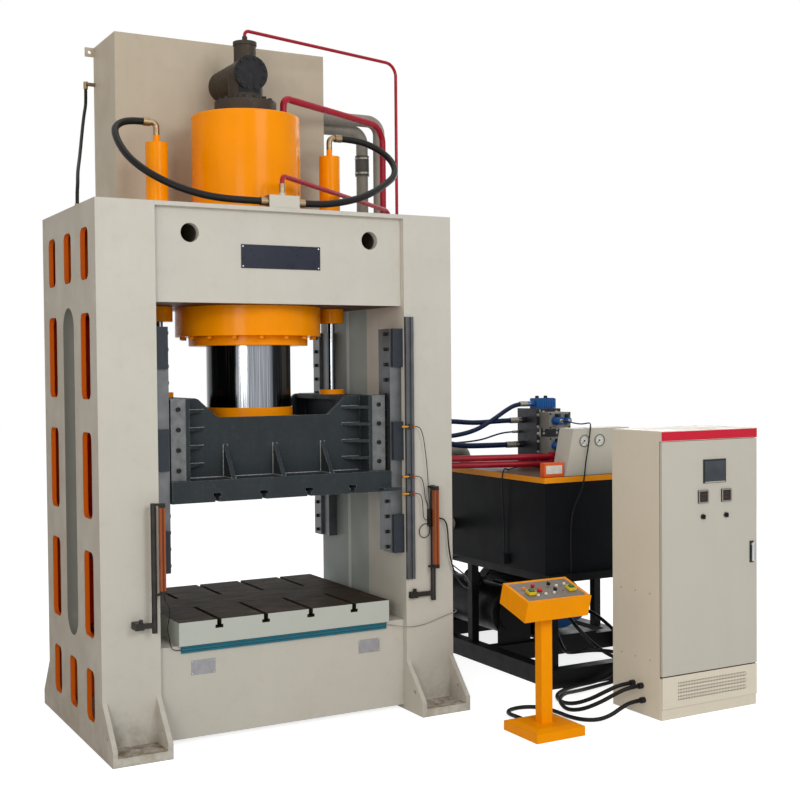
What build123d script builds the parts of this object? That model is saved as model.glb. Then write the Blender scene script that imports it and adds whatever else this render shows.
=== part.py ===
"""Four-post-look straight-side hydraulic press with its power unit, control cabinet and console.

Millimetres, +Z up, -Y is the operator's side. The origin is on the floor at the centre of the
press's anchor-bolt rectangle, which is also the axis of the main cylinder.
"""
from build123d import *
from math import atan2, cos, degrees, hypot, pi, radians, sin, tan
import os

# Main cylinder, plunger and gland, from the ram outwards
PLUNGER_R = 272.5
PLUNGER_L = 1447
PLUNGER_WALL = 90
PLUNGER_NECK = 32           # groove of the ram's clamped foot
PLUNGER_FOOT = 10
BARREL_GAP = 7.5            # ram to the barrel's bore
BARREL_WALL = 70
BARREL_HEAD_T = 130
BARREL_PROUD = 646          # barrel above the crown
FLANGE_T = 187
GLAND_STEP = 35             # gland wider than the barrel
GLAND_T = 59
GLAND_SPIGOT = 120
BOLT_BAND = 85              # flange wider than the gland
BOLT_COUNT = 16
BOLT_HEAD_R = 17
BOLT_HEAD_H = 19
CLAMP_T = 62
CLAMP_RIM = 10.5            # clamp ring wider than the ram
CLAMP_LIP = 32              # the clamp ring's lip over the plunger's foot
RUN_FIT = 0.05              # radial clearance of sliding fits
SEAT_FIT = 0.05             # radial clearance of parts seated for good

BARREL_BORE_R = PLUNGER_R + BARREL_GAP
BARREL_R = BARREL_BORE_R + BARREL_WALL
GLAND_R = BARREL_R + GLAND_STEP
FLANGE_R = GLAND_R + BOLT_BAND
BOLT_CIRCLE_R = GLAND_R + BOLT_BAND / 2
CLAMP_R = PLUNGER_R + CLAMP_RIM

# Return cylinders beside the main cylinder's flange
ROD_R = 24
ROD_COLLAR = 16             # foot collar wider than the rod
ROD_L = 1045
PISTON_T = 80
RETURN_BORE_R = 50
RETURN_WALL = 19
RETURN_RIM = 16             # flange wider than the cylinder
RETURN_GAP = 45             # between the flanges of main and return cylinders
RETURN_PROUD = 442          # cylinder above the crown
RETURN_FLANGE_T = 94
RETURN_GLAND_T = 50
RETURN_HEAD_T = 38
RETURN_NECK_R = 19.5
RETURN_NECK_H = 48
PORT_R = 8
FOOT_DISC_R = 84
FOOT_DISC_T = 32

RETURN_R = RETURN_BORE_R + RETURN_WALL
RETURN_FLANGE_R = RETURN_R + RETURN_RIM
RETURN_X = FLANGE_R + RETURN_GAP + RETURN_FLANGE_R

# Press frame, whose uprights stand clear of the return cylinders
FRAME_D = 1236              # depth of an upright
FRAME_H = 3186              # floor to the top of the crown
UPRIGHT_W = 350
GUIDE_ROOM = 218            # return cylinder's axis to the upright
SIDE_T = 30                 # side plates of an upright
FACE_T = 40                 # front and rear plates of an upright
FOOT_T = 50                 # foot plate
FOOT_FRONT = 204            # foot ahead of the upright
FOOT_REAR = 160
GUSSET_TOP = 316
GUSSET_TOE = 91
ANCHOR_OUT = 101            # anchor holes outside the upright's depth
ANCHOR_R = 22.5
LASHING_R = 12              # lashing hole in each front gusset

HALF_D = FRAME_D / 2
INNER_X = RETURN_X + GUIDE_ROOM
OUTER_X = INNER_X + UPRIGHT_W
ANCHOR_X = OUTER_X - UPRIGHT_W / 2
ANCHOR_Y = HALF_D + ANCHOR_OUT

# Crown and bed
CROWN_H = 582
CROWN_INSET = 40            # front plate behind the uprights' faces
CROWN_PLATE = 50
CROWN_TOP_T = 26
CROWN_BASE_T = 70
CROWN_RIB_OUT = 90          # ribs outside the barrel
CROWN_RIB_T = 30
LIFT_HOLE_X = 595
LIFT_HOLE_DROP = 172        # below the crown's top
LIFT_HOLE_R = 56.5
BED_FOOT = 30
BED_H = 553
BED_PLATE = 60
BED_BAYS = 4

CROWN_Z = FRAME_H - CROWN_H
CROWN_RIB_X = BARREL_R + CROWN_RIB_OUT
LIFT_HOLE_Z = FRAME_H - LIFT_HOLE_DROP
BED_Z = (BED_FOOT, BED_FOOT + BED_H)
FACE_Y = HALF_D - CROWN_INSET
BARREL_TOP = FRAME_H + BARREL_PROUD
FLANGE_Z = CROWN_Z - FLANGE_T
RETURN_TOP = FRAME_H + RETURN_PROUD
RETURN_FLANGE_Z = CROWN_Z - RETURN_FLANGE_T

# Windows in the outer plates: short rows below and above, tall ones between
WINDOW_W = 200
WINDOW_END_W = 172
WINDOW_END_H = 302
WINDOW_FOOT = 163           # floor to the lowest opening
WINDOW_HEAD = 149           # top opening to the upright's top
WINDOW_BAR = 192.5          # between the rows
WINDOW_ROW_COUNT = 3
WINDOW_EDGE = 236           # outer columns' middle to the upright's front
WINDOW_R = 45
CHANNEL_R = 128             # half-round pipe channel
CHANNEL_WALL = 12
CHANNEL_GAP = 16            # channel to the height of bed and crown
DIAPHRAGM_T = 25

WINDOW_COLUMN = HALF_D - WINDOW_EDGE
WINDOW_END_ROWS = (WINDOW_FOOT + WINDOW_END_H / 2, FRAME_H - WINDOW_HEAD - WINDOW_END_H / 2)
WINDOW_SPAN = WINDOW_END_ROWS[1] - WINDOW_END_ROWS[0] - WINDOW_END_H - WINDOW_BAR
WINDOW_PITCH = WINDOW_SPAN / WINDOW_ROW_COUNT
WINDOW_H = WINDOW_PITCH - WINDOW_BAR
WINDOW_FIRST = WINDOW_FOOT + WINDOW_END_H + WINDOW_BAR + WINDOW_H / 2
WINDOW_ROWS = tuple(WINDOW_FIRST + row * WINDOW_PITCH for row in range(WINDOW_ROW_COUNT))
CHANNEL_Z = (BED_Z[1] + CHANNEL_GAP, CROWN_Z - CHANNEL_GAP)

# Bolster
BOLSTER_W = 1400
BOLSTER_INSET = 18          # behind the uprights' faces
BOLSTER_T = 140
BOLSTER_D = 2 * (HALF_D - BOLSTER_INSET)
BOLSTER_TOP = BED_Z[1] + BOLSTER_T

# Guides, from the uprights inwards
RAIL_PROUD = 83             # rail inside the upright
RAIL_STEP = 20
RAIL_INSET = 43             # behind the upright's face
RAIL_FRONT_W = 100
RAIL_W = 190
RAIL_TOP_GAP = 144          # rail to the crown
RAIL_LIFT = 437             # rail above the bed
BLOCK_H = 246
BLOCK_STEP = 10
BLOCK_T = 25
RAIL_SCREW_R = 12
RAIL_SCREW_H = 16
RAIL_SCREW_EDGE = 34
RAIL_SCREW_COUNT = 15
SHOE_GAP = 20               # shoe to the rail's face, which clears the screws
SHOE_T = 92

RAIL_X = INNER_X - RAIL_PROUD
RAIL_BACK_X = RAIL_X + RAIL_STEP
RAIL_FRONT = HALF_D - RAIL_INSET
RAIL_Y = (RAIL_FRONT, RAIL_FRONT - RAIL_FRONT_W, RAIL_FRONT - RAIL_W)
RAIL_SCREW_Y = RAIL_FRONT - RAIL_FRONT_W / 2
BLOCK_X = RAIL_X + BLOCK_STEP
BLOCK_Y = RAIL_FRONT + BLOCK_T
SHOE_X = RAIL_X - SHOE_GAP

# Slide, hung from the crown by its cylinders
SLIDE_DROP = 1182           # crown to the slide's underside, at rest
SLIDE_H = 613
SLIDE_BASE_T = 130
SLIDE_GAP = 6               # base to the rails
SLIDE_LIP = 22              # base ahead of the rails
SEAT_DROP = 132             # ram's seat below the slide's top
SEAT_PLATE_T = 50
SEAT_RIM = 47               # seat plate wider than the clamp ring
POST_T = 25
POST_INSET = 34             # corner posts behind the rails' faces
WEB_T = 35
WEB_BITE = 16               # web into the corner post
WEB_STEP = 30               # web ahead of the shoe's back
NOTCH_ROOM = 99.5           # notch wider than the ram
NOTCH_SLOPE = 133
NOTCH_LIFT = 13             # notch's foot above the seat
NOTCH_R = 40                # rounding of the notch's corners
RIB_T = 16
RIB_LIFT = 83
RIB_PITCH = 108
RIB_COUNT = 4
RIB_RUN = 133
TOE_X = 328                 # spacing of the three front gussets
TOE_INSET = 44
TOE_H = 200
TOE_T = 26
HUB_R = 300
HUB_WALL = 40
SPOKE_T = 24
SHELF_T = 30
SHELF_RIM = 6
KNEE_H = 200

SLIDE_Z = CROWN_Z - SLIDE_DROP
SLIDE_TOP = SLIDE_Z + SLIDE_H
SLIDE_BASE_TOP = SLIDE_Z + SLIDE_BASE_T
SLIDE_W = 2 * (RAIL_X - SLIDE_GAP)
SLIDE_D = 2 * (RAIL_FRONT + SLIDE_LIP)
PLUNGER_SEAT = SLIDE_TOP - SEAT_DROP
PLUNGER_TOP = PLUNGER_SEAT + PLUNGER_L
SEAT_HALF = CLAMP_R + SEAT_RIM
PISTON_Z = (SLIDE_TOP + ROD_L, SLIDE_TOP + ROD_L + PISTON_T)
POST_X = (SHOE_X - SHOE_T - POST_T, SHOE_X - SHOE_T)
POST_Y = RAIL_FRONT - POST_INSET
WEB_X = POST_X[0] + WEB_BITE
WEB_Y = RAIL_Y[2] + WEB_STEP
NOTCH_X = PLUNGER_R + NOTCH_ROOM
NOTCH_TOP_X = NOTCH_X + NOTCH_SLOPE
NOTCH_Z = PLUNGER_SEAT + NOTCH_LIFT
RIB_Z0 = SLIDE_BASE_TOP + RIB_LIFT
RIB_X = POST_X[0] - RIB_RUN
TOE_RUN = SLIDE_D / 2 - WEB_Y - TOE_INSET
RAIL_Z = (BED_Z[1] + RAIL_LIFT, CROWN_Z - RAIL_TOP_GAP)
RAIL_SCREW_PITCH = (RAIL_Z[1] - RAIL_Z[0] - 2 * RAIL_SCREW_EDGE) / (RAIL_SCREW_COUNT - 1)
BLOCK_MIDS = (RAIL_Z[0] + BLOCK_H / 2, sum(RAIL_Z) / 2, RAIL_Z[1] - BLOCK_H / 2)

# T-slots, the same in bolster and slide
SLOT_PITCH = 300
SLOT_RUN = 435              # length in from each edge
SLOT_NECK = 28
SLOT_HEAD = 50
SLOT_HEAD_H = 20
SLOT_DEPTH = 52
SLOT_XS = (-1.5 * SLOT_PITCH, -0.5 * SLOT_PITCH, 0.5 * SLOT_PITCH, 1.5 * SLOT_PITCH)

# Prefill valve on the barrel
VALVE_FLANGE_R = 200
VALVE_FLANGE_T = 98
VALVE_SCREW_COUNT = 16
VALVE_SCREW_R = 15
VALVE_SCREW_H = 20
VALVE_WALL = 24
VALVE_NECK_WALL = 28
VALVE_RISE = 274            # barrel's head to the cross body's axis
VALVE_FRONT_Y = -80
VALVE_COVER_T = 30
VALVE_COVER_R = 112
POPPET_R = 90
POPPET_SEAT = 6             # poppet wider than the bore that it closes
POPPET_ROOM = 12
POPPET_T = 30
POPPET_TAPER = 24
POPPET_STEM_R = 14
POPPET_TRAVEL = 40
PILOT_R = 72
PILOT_RIM = 5
PILOT_RIM_T = 24
PILOT_RISE = 74             # cross body's axis to the pilot bore
PILOT_PISTON_T = 30
PILOT_PISTON_GAP = 20       # under the pilot piston with the poppet down
PILOT_SPARE = 32
PILOT_LID_T = 20
PILOT_BORE_R = 50
PILOT_NIPPLE_R = 17
PILOT_NIPPLE_H = 38

VALVE_BORE_R = POPPET_R - POPPET_SEAT
VALVE_BODY_R = VALVE_BORE_R + VALVE_WALL
VALVE_NECK_R = VALVE_BORE_R + VALVE_NECK_WALL
VALVE_AXIS_Z = BARREL_TOP + VALVE_RISE
PILOT_PISTON_Z = VALVE_AXIS_Z + PILOT_RISE + POPPET_TRAVEL + PILOT_PISTON_GAP
PILOT_BORE = (VALVE_AXIS_Z + PILOT_RISE, PILOT_PISTON_Z + PILOT_PISTON_T + PILOT_SPARE)
PILOT_TOP = PILOT_BORE[1] + PILOT_LID_T

# Upper tank
TANK_X = 745
TANK_GAP = 35               # tank behind the barrel
TANK_D = 500
TANK_H = 1152
TANK_WALL = 6
SKID_X = 500
SKID_W = 80
SKID_H = 60
LUG = 60
LUG_T = 14
LEVEL_PORT = (25, 252)      # level hose below the top, ahead of the back
LEVEL_D = 22
LEVEL_REACH = 63            # level hose outside the tank's side
LEVEL_DROP = 34
LEVEL_FOOT = (44, 84, 24)   # level hose on the left upright: inside, ahead, above

TANK_Y = (BARREL_R + TANK_GAP, BARREL_R + TANK_GAP + TANK_D)
TANK_Z = (FRAME_H + SKID_H, FRAME_H + SKID_H + TANK_H)
LEVEL_START = (-TANK_X - LEVEL_REACH, TANK_Y[1] - LEVEL_PORT[0], TANK_Z[1] - LEVEL_PORT[1] - LEVEL_DROP)
LEVEL_END = (-OUTER_X + LEVEL_FOOT[0], -LEVEL_FOOT[1], FRAME_H + LEVEL_FOOT[2])

# Return hoses and their fittings
HOSE_D = 44
FERRULE_WALL = 4            # fitting wider than its hose
FERRULE_L = 46
TEE = (200, 70, 76)
TEE_INSET = 3
ELBOW_RISE = 80             # neck's top to the elbow's axis
ELBOW_RUN = 86              # cylinder's axis to the hose
ELBOW_BEND = 34

TEE_Y = -FACE_Y + TEE_INSET
TEE_Z = FRAME_H
TEE_END = (TEE[0] / 2 + FERRULE_L, TEE_Y, TEE_Z + TEE[2] / 2)
ELBOW_Z = RETURN_TOP + RETURN_NECK_H + ELBOW_RISE
HOSE_START_X = RETURN_X + ELBOW_RUN

# Power unit
UNIT_GAP = 746              # from the press to the skid
UNIT_W = 1290
UNIT_D = 2200
UNIT_FRONT = -685
SKID_RAIL_W = 100
SKID_RAIL_H = 125
OIL_INSET = 20
OIL_SETBACK = 100
OIL_FLOOR = 767
OIL_H = 635
LID_T = 40
LID_SHEET = 10
LID_RIM = 12
LID_OVER = 4                # lid wider than the tank
RING_T = 50
RING_LEDGE = 60
LEG = 60
LEG_INSET = 15
PLATFORM_REAR = 255         # motor platform ahead of the skid's rear
PLATFORM_L = 1110
PLATFORM_W = 520
PLATFORM_T = 20
SWITCH_T = 34
SWITCH_Y = (-130, -86)
SWITCH_Z = (23, 93)         # above the tank's floor

UNIT_X = (OUTER_X + UNIT_GAP, OUTER_X + UNIT_GAP + UNIT_W)
UNIT_Y = (UNIT_FRONT, UNIT_FRONT + UNIT_D)
OIL_X = (UNIT_X[0] + OIL_INSET, UNIT_X[1] - OIL_INSET)
OIL_Y = (UNIT_Y[0] + OIL_SETBACK, UNIT_Y[1] - OIL_SETBACK)
OIL_Z = (OIL_FLOOR, OIL_FLOOR + OIL_H)
LID_TOP = OIL_Z[1] + LID_T
RING_Z = (OIL_FLOOR - RING_T, OIL_FLOOR)
PLATFORM_Y = (UNIT_Y[1] - PLATFORM_REAR - PLATFORM_L, UNIT_Y[1] - PLATFORM_REAR)

# Oil cooler under the tank
COOLER_IN = 291             # skid's side to the cooler's axis
COOLER_R = 176
COOLER_Z = 358
COOLER_REAR = 280           # cooler ahead of the skid's rear
COOLER_L = 1060
COOLER_END = 30
COOLER_END_STEP = 30
COOLER_FLANGE = 14
COOLER_FLANGE_T = 20
SADDLE_INSET = 25
SADDLE_W = 280
SADDLE_T = 28
STUB_R = 24
VALVE_OUT = 140             # shut-off valve from the cooler's axis, its end and the oil tank
VALVE_ALONG = 391
VALVE_DROP = 182
VALVE_DISC_R = 60

COOLER_X = UNIT_X[0] + COOLER_IN
COOLER_Y = (UNIT_Y[1] - COOLER_REAR - COOLER_L, UNIT_Y[1] - COOLER_REAR)
COOLER_VALVE = (COOLER_X - VALVE_OUT, COOLER_Y[0] + VALVE_ALONG, OIL_FLOOR - VALVE_DROP, VALVE_DISC_R)
SADDLE_Y = (COOLER_Y[0] + SADDLE_INSET, COOLER_Y[1] - SADDLE_INSET)

# Motor, coupling, bell housing and pump, from the skid's rear forwards
MOTOR_IN = 524              # skid's right side to the motor's axis
MOTOR_REAR = 335            # motor ahead of the skid's rear
MOTOR_R = 205
MOTOR_L = 710
MOTOR_LIFT = 20             # motor's shell above the platform
COWL_L = 110
COWL_STEP = 8
FIN_COUNT = 32
FIN_H = 14
FIN_T = 6
MOTOR_FOOT = (100, 30)
MOTOR_FOOT_Y = (60, 160)
MOTOR_WEB_T = 40
TERMINAL = (115, 200, 150)
TERMINAL_SINK = 40
TERMINAL_Y = 120
SHAFT_R = 30
PUMP_L = 170
PUMP_R = 105
PUMP_PORT = (160, 34)
PUMP_PORT_Y = 50
BELL_L = 230
BELL_T = 14
BELL_FLANGE_T = 24
BELL_STEP = 10              # bell smaller than the motor
BELL_WINDOW = (90, 120)
COUPLING_R = 85
COUPLING_GAP = (132, 12)    # coupling to both ends of the bell
COUPLING_GROOVE = (12, 14)
SHAFT_GRIP = 40

MOTOR_X = UNIT_X[1] - MOTOR_IN
MOTOR_Z = SKID_RAIL_H + PLATFORM_T + MOTOR_R + MOTOR_LIFT
MOTOR_Y = (UNIT_Y[1] - MOTOR_REAR - MOTOR_L, UNIT_Y[1] - MOTOR_REAR)
BELL_Y = (MOTOR_Y[0] - BELL_L, MOTOR_Y[0])
BELL_R = MOTOR_R - BELL_STEP
PUMP_Y = (BELL_Y[0] - PUMP_L, BELL_Y[0])
COUPLING_Y = (BELL_Y[0] + COUPLING_GAP[0], BELL_Y[1] - COUPLING_GAP[1])
COUPLING_MID = sum(COUPLING_Y) / 2

# Valve manifold on the lid
MANIFOLD_IN = 267           # motor's axis to the manifold's left face
MANIFOLD_W = 227
MANIFOLD_H = 444
MANIFOLD_Y = (190, 440)
MANIFOLD_STRIP = (12, 26, 22)
VALVE_BLOCK = 132
VALVE_BLOCK_W = 200
VALVE_BLOCK_H = 124
VALVE_RISES = (170, 358)    # valves above the lid
VALVE_INSET = 24            # valves beside the manifold's strip
COIL = (84, 30, -50)        # length, radius and place on the valve block
CAP_COIL = (50, 24, 50)
TOP_VALVE = (180, 90, 72)

MANIFOLD_X = (MOTOR_X - MANIFOLD_IN, MOTOR_X - MANIFOLD_IN + MANIFOLD_W)
MANIFOLD_Z = (LID_TOP, LID_TOP + MANIFOLD_H)

# Gauge panel and indicator box on the lid
PANEL_IN = 196              # tank's side to the panel
PANEL_W = 630
PANEL_H = 328
PANEL_D = 160
PANEL_SHEET = 4
PANEL_SLOPE = 69
GAUGE_SETBACK = 25
GAUGE_INS = (161, 294)      # gauges from the panel's left foot
GAUGE_RISE = 242
GAUGE_R = 42
GAUGE_RIM = 12
GAUGE_LIP = 6
SPINDLE_R = 2
GAUGE_DEPTH = 34
NEEDLE_L = 30
NEEDLE_W = 3
NEEDLE_T = 2
NEEDLE_ZERO = -135
LID_BOX = (26, 166, 50, 96)
LID_BOX_SETBACK = 40

PANEL_X = (OIL_X[0] + PANEL_IN, OIL_X[0] + PANEL_IN + PANEL_W)
PANEL_TOP = LID_TOP + PANEL_H
GAUGE_Y = OIL_Y[0] + GAUGE_SETBACK
GAUGE_XS = tuple(PANEL_X[0] + reach for reach in GAUGE_INS)
GAUGE_Z = LID_TOP + GAUGE_RISE

# Port block on the right upright, and the hose ends there and at the manifold
PIPE_OUT = 57               # upright to the lines beside it
PORT_T = 114
PORT_Y = (150, 470)
PORT_DROP = 2               # block below the lid's top
PORT_H = 420
FITTING_L = 48
SUPPLY_D = (34, 38, 13, 42)
SUPPLY_PORTS = ((65, 260), (150, 370), (270, 210), (235, 286))
SUPPLY_ENDS = ((12, 140, 480), (-60, 162, 355), (-25, 230, 263), (-70, 192, 168))

PIPE_X = OUTER_X + PIPE_OUT
PORT_X = OUTER_X + PORT_T
PORT_Z = (LID_TOP - PORT_DROP, LID_TOP - PORT_DROP + PORT_H)
SUPPLY_STARTS = [(PORT_X + FITTING_L, PORT_Y[0] + y, PORT_Z[0] + z) for y, z in SUPPLY_PORTS]
SUPPLY_STOPS = [(MANIFOLD_X[0] + x, MANIFOLD_Y[0] + y, MANIFOLD_Z[0] + z) for x, y, z in SUPPLY_ENDS]

# Rigid pipes: pilot, lowering and pressure line, and two suction pipes
PIPE_WALL = 4
PILOT_LINE_R = 11
LOWER_LINE_R = 15
PRESS_LINE_R = 23
PILOT_LINE_IN = 50          # lines behind the port block's front
LOWER_LINE_IN = 150
PRESS_LINE_IN = 255
PILOT_LINE_RISE = 40
LOWER_LINE_RISE = 199
LINE_FALL = 5
LOWER_LINE_FALL = 55
LOWER_NIPPLE = 48
PRESS_PORT_OUT = 68         # pressure port outside the valve's flange
PRESS_LINE_RISE = 160
PRESS_LINE_FALL = 40
LINK_RISES = (44, 94)       # the two red lines to the power unit, above the lid
LINK_IN = 180               # links behind the port block's front
LINK_AHEAD = 170            # links ahead of the manifold
LINK_END_IN = 17
LINK_RUN = (90, 110)
LINK_BEND = 60
LINK_TEE = (250, 82, 30)
LINK_TEE_Y = -45
LINK_STUB = (170, 34)
LINK_PLUG = (60, 38, 20)
SUCTION_R = 44
SUCTION_WALL = 5
SUCTION_BEND = 95
SUCTION_END_BEND = 60
SUCTION_SPACING = 95
SUCTION_PORTS = ((155, 784), (245, 847))    # ahead of the tank's back, above the crown
SUCTION_DIP = 118           # low pipe's run above the lid
SUCTION_END_IN = 176        # tank's side to the pipe's end on the lid
SUCTION_ENTRY = 233         # high pipe's entry above the tank's floor
SUCTION_FLANGE = (34, 14)
SLEEVE = (454, 150, 8)

PILOT_LINE_Y = PORT_Y[0] + PILOT_LINE_IN
LOWER_LINE_Y = PORT_Y[0] + LOWER_LINE_IN
PRESS_LINE_Y = PORT_Y[0] + PRESS_LINE_IN
LINK_Z = tuple(LID_TOP + rise for rise in LINK_RISES)
LINK_Y = (PORT_Y[0] + LINK_IN, MANIFOLD_Y[0] - LINK_AHEAD)
LINK_END_X = MANIFOLD_X[0] + LINK_END_IN
LOWER_LINE_Z = FRAME_H + LOWER_LINE_RISE
SUCTION_AT = [(TANK_Y[1] - inset, FRAME_H + rise) for inset, rise in SUCTION_PORTS]
SUCTION_LOW_Z = LID_TOP + SUCTION_DIP
SUCTION_END_X = OIL_X[0] + SUCTION_END_IN
SUCTION_ENTRY_Z = OIL_Z[0] + SUCTION_ENTRY
SLEEVE_Z = (FRAME_H + SLEEVE[0], FRAME_H + SLEEVE[0] + SLEEVE[1])

# Sensors on the right upright
SENSOR_RAIL_W = 57
SENSOR_RAIL_T = 22
SENSOR_RAIL_OVER = (171, 74)    # rail beyond the guide rail, below and above
SENSOR_GROOVE = (18, 10)
SENSOR_OUT = 32             # sensors ahead of the upright
SENSOR_R = 8
SENSOR_CLAMP = (22, 14)
SENSOR_CLAMP_IN = 10
SENSOR_RISES = (-20, 90, 410)   # from the slide's underside
SENSOR_IN = 41              # sensor tips inside the upright's face
SENSOR_L = 91
STRIKER_W = 85
STRIKER_TIP = 43
STRIKER_T = 20
STRIKER_RISE = 16
STRIKER_GAP = 9

SENSOR_RAIL_X = (INNER_X, INNER_X + SENSOR_RAIL_W)
SENSOR_RAIL_Z = (RAIL_Z[0] - SENSOR_RAIL_OVER[0], RAIL_Z[1] + SENSOR_RAIL_OVER[1])
SENSOR_Y = -HALF_D - SENSOR_OUT
SENSOR_X = (INNER_X - SENSOR_IN, INNER_X - SENSOR_IN + SENSOR_L)
SENSOR_ZS = tuple(SLIDE_Z + rise for rise in SENSOR_RISES)
STRIKER_X = (SENSOR_X[0] - STRIKER_GAP - STRIKER_TIP - STRIKER_W, SENSOR_X[0] - STRIKER_GAP - STRIKER_TIP,
             SENSOR_X[0] - STRIKER_GAP)

# Light curtains, their posts and the junction box
CURTAIN_OUT = 35            # ahead of the sensors
CURTAIN_W = 32
CURTAIN_L = 507
CURTAIN_RISE = 202          # above the bolster
CURTAIN_IN = (5, 164)       # bars outside the left upright's face, inside the right one's side
CURTAIN_POST_IN = (56, 158)
CURTAIN_POST_BACK = 50      # the right post behind the bars
CURTAIN_POST_R = 16
CURTAIN_POST_OVER = (23, 723)   # below and above the bolster's top
CURTAIN_FOOT_IN = (203, 44)
CURTAIN_FOOT_RISE = 23
CURTAIN_FOOT = (52, 40, 28, 24)
ARM_T = 12
ARM_HALF = 14
STAND_SCREW = (10, 38, 11)
JUNCTION = (58, 42, 110)
JUNCTION_OUT = 34
JUNCTION_RISE = 457

CURTAIN_Y = SENSOR_Y - CURTAIN_OUT
CURTAIN_Z = (BOLSTER_TOP + CURTAIN_RISE, BOLSTER_TOP + CURTAIN_RISE + CURTAIN_L)
CURTAIN_BAR_X = (-INNER_X - CURTAIN_IN[0], OUTER_X - CURTAIN_IN[1])
CURTAIN_POST = ((-INNER_X - CURTAIN_POST_IN[0], CURTAIN_Y),
                (OUTER_X - CURTAIN_POST_IN[1], CURTAIN_Y + CURTAIN_POST_BACK))
CURTAIN_POST_Z = (BOLSTER_TOP - CURTAIN_POST_OVER[0], BOLSTER_TOP + CURTAIN_POST_OVER[1])
CURTAIN_FOOT_X = (-OUTER_X + CURTAIN_FOOT_IN[0], INNER_X + CURTAIN_FOOT_IN[1])
CURTAIN_FOOT_Z = BOLSTER_TOP + CURTAIN_FOOT_RISE
JUNCTION_X = (CURTAIN_POST[1][0] - JUNCTION_OUT, CURTAIN_POST[1][0] - JUNCTION_OUT + JUNCTION[0])
JUNCTION_Y = (-HALF_D - JUNCTION[1], -HALF_D)
JUNCTION_Z = (BOLSTER_TOP + JUNCTION_RISE, BOLSTER_TOP + JUNCTION_RISE + JUNCTION[2])

# Cable duct on the bed
DUCT_END = 134              # duct's end inside the upright
DUCT_H = 40
DUCT_DROP = 3               # below the bed's top
DUCT_T = 14
DUCT_X = INNER_X - DUCT_END
DUCT_Z = (BED_Z[1] - DUCT_DROP - DUCT_H, BED_Z[1] - DUCT_DROP)

# Control cabinet ahead of the power unit
CAB_IN = 136                # skid's side to the cabinet's
CAB_GAP = 489               # cabinet to the skid
CAB_W = 800
CAB_D = 480
CAB_H = 1800
CAB_SHEET = 3
CAB_LIP = 25
DOOR_T = 20
DOOR_GAP = 0.6
DOOR_INSET = 3
DOOR_FOLD = 22
HEADER_H = 62
PLINTH_H = 70
PLINTH_SETBACK = 8
LOUVRE_PANEL_H = 198
DOOR_GAP_Z = (7, 3)         # door to the lower panel and to the header
PIVOT_INSET = (6, 4)
PIVOT_R = 2.5
PIVOT_L = 14                # how far the hinge pins reach into the door
LOUVRE_ROWS = 3
LOUVRE_PITCH = 42
LOUVRE_H = 12
LOUVRE_FOOT = 50
LOUVRE_ENDS = (130, 90)
CONDUIT_PORTS = ((269, 186), (190, 184), (170, 97))     # behind the door's face, above the floor
BACK_PORTS = ((470, 190), (590, 150))
CONDUIT_GLAND = 30
GLAND_WALL = 6
CABLE_D = 26
INSTRUMENT_IN = 433         # hinge side to the instruments' middle
INSTRUMENT_STEP = 97
SCREEN = (188, 150, 9)
SCREEN_DROP = 197           # below the door's top
METER = (82, 8)
METER_DROP = 355
BEZEL = 3
SELECTOR_DROP = 482
SELECTOR_R = 15
SELECTOR_STEM_R = 7
SELECTOR_STEM_L = 10
HANDLE_EDGE = 51
HANDLE_RISE = 656           # above the door's foot
HANDLE_H = 139
HANDLE_PLATE = (32, 6)
HANDLE_STEM = (6, 12)
LEVER_W = 16
LEVER_T = 12
HANDLE_TOP = 20             # handle's axis below its plate's top
SWITCH_PLATE_INSET = 60
SWITCH_PLATE_T = 20
SWITCH_PLATE_ENDS = (45, 15)
SWITCH_FILL = 0.84          # width of a switch over its place in the row
# Rows of switchgear: below the plate's top, pieces, depth and height
SWITCH_ROWS = ((160, 9, 75, 110), (380, 7, 95, 135), (640, 4, 130, 160), (960, 3, 170, 185))

CAB_X = (UNIT_X[0] + CAB_IN, UNIT_X[0] + CAB_IN + CAB_W)
CAB_Y = (UNIT_Y[0] - CAB_GAP - CAB_D, UNIT_Y[0] - CAB_GAP)
HEADER_Z = CAB_H - HEADER_H
PANEL_Z = (PLINTH_H, PLINTH_H + LOUVRE_PANEL_H)
DOOR_Z = (PANEL_Z[1] + DOOR_GAP_Z[0], HEADER_Z - DOOR_GAP_Z[1])
PIVOT_X = CAB_X[0] + PIVOT_INSET[0]
PIVOT_Y = CAB_Y[0] + PIVOT_INSET[1]
PANEL_MID_X = CAB_X[0] + INSTRUMENT_IN
SCREEN_Z = DOOR_Z[1] - SCREEN_DROP
METER_Z = DOOR_Z[1] - METER_DROP
SELECTOR_Z = DOOR_Z[1] - SELECTOR_DROP
HANDLE_X = CAB_X[1] - HANDLE_EDGE
HANDLE_Z = (DOOR_Z[0] + HANDLE_RISE, DOOR_Z[0] + HANDLE_RISE + HANDLE_H)

# Control console
STAND_X = 1286.5
STAND_Y = -1469.5
STAND_BASE = 350
STAND_BASE_T = 57
STAND_COLUMN = 80
STAND_TOE = 12
CONSOLE_W = 460
CONSOLE_D = 274
CONSOLE_H = 129
CONSOLE_TILT = 16.3
CONSOLE_LEAN = 39.5         # console's middle ahead of the column
CONSOLE_Z = 873
PANEL_INSET = 22
PANEL_T = 4
CAP_R = 8
CAP_H = 10
LAMP_RIM = 3
WELL_D = 24                 # wells under the push buttons
STEM_SHARE = 0.6            # stem's radius over its cap's
CAP_LIFT = 1                # caps above the panel when pressed
PUSH_H = 18
HEAD_H = 12

# Knobs of the selectors on cabinet and console
KNOB_H = 12
GRIP_W = 8
GRIP_H = 10

CONSOLE_Y = STAND_Y - CONSOLE_LEAN


def block(x, y, z):
    """Box between the low and high value on each axis."""
    sizes = [high - low for low, high in (x, y, z)]
    return Pos(sum(x) / 2, sum(y) / 2, sum(z) / 2) * Box(*sizes)


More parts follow.
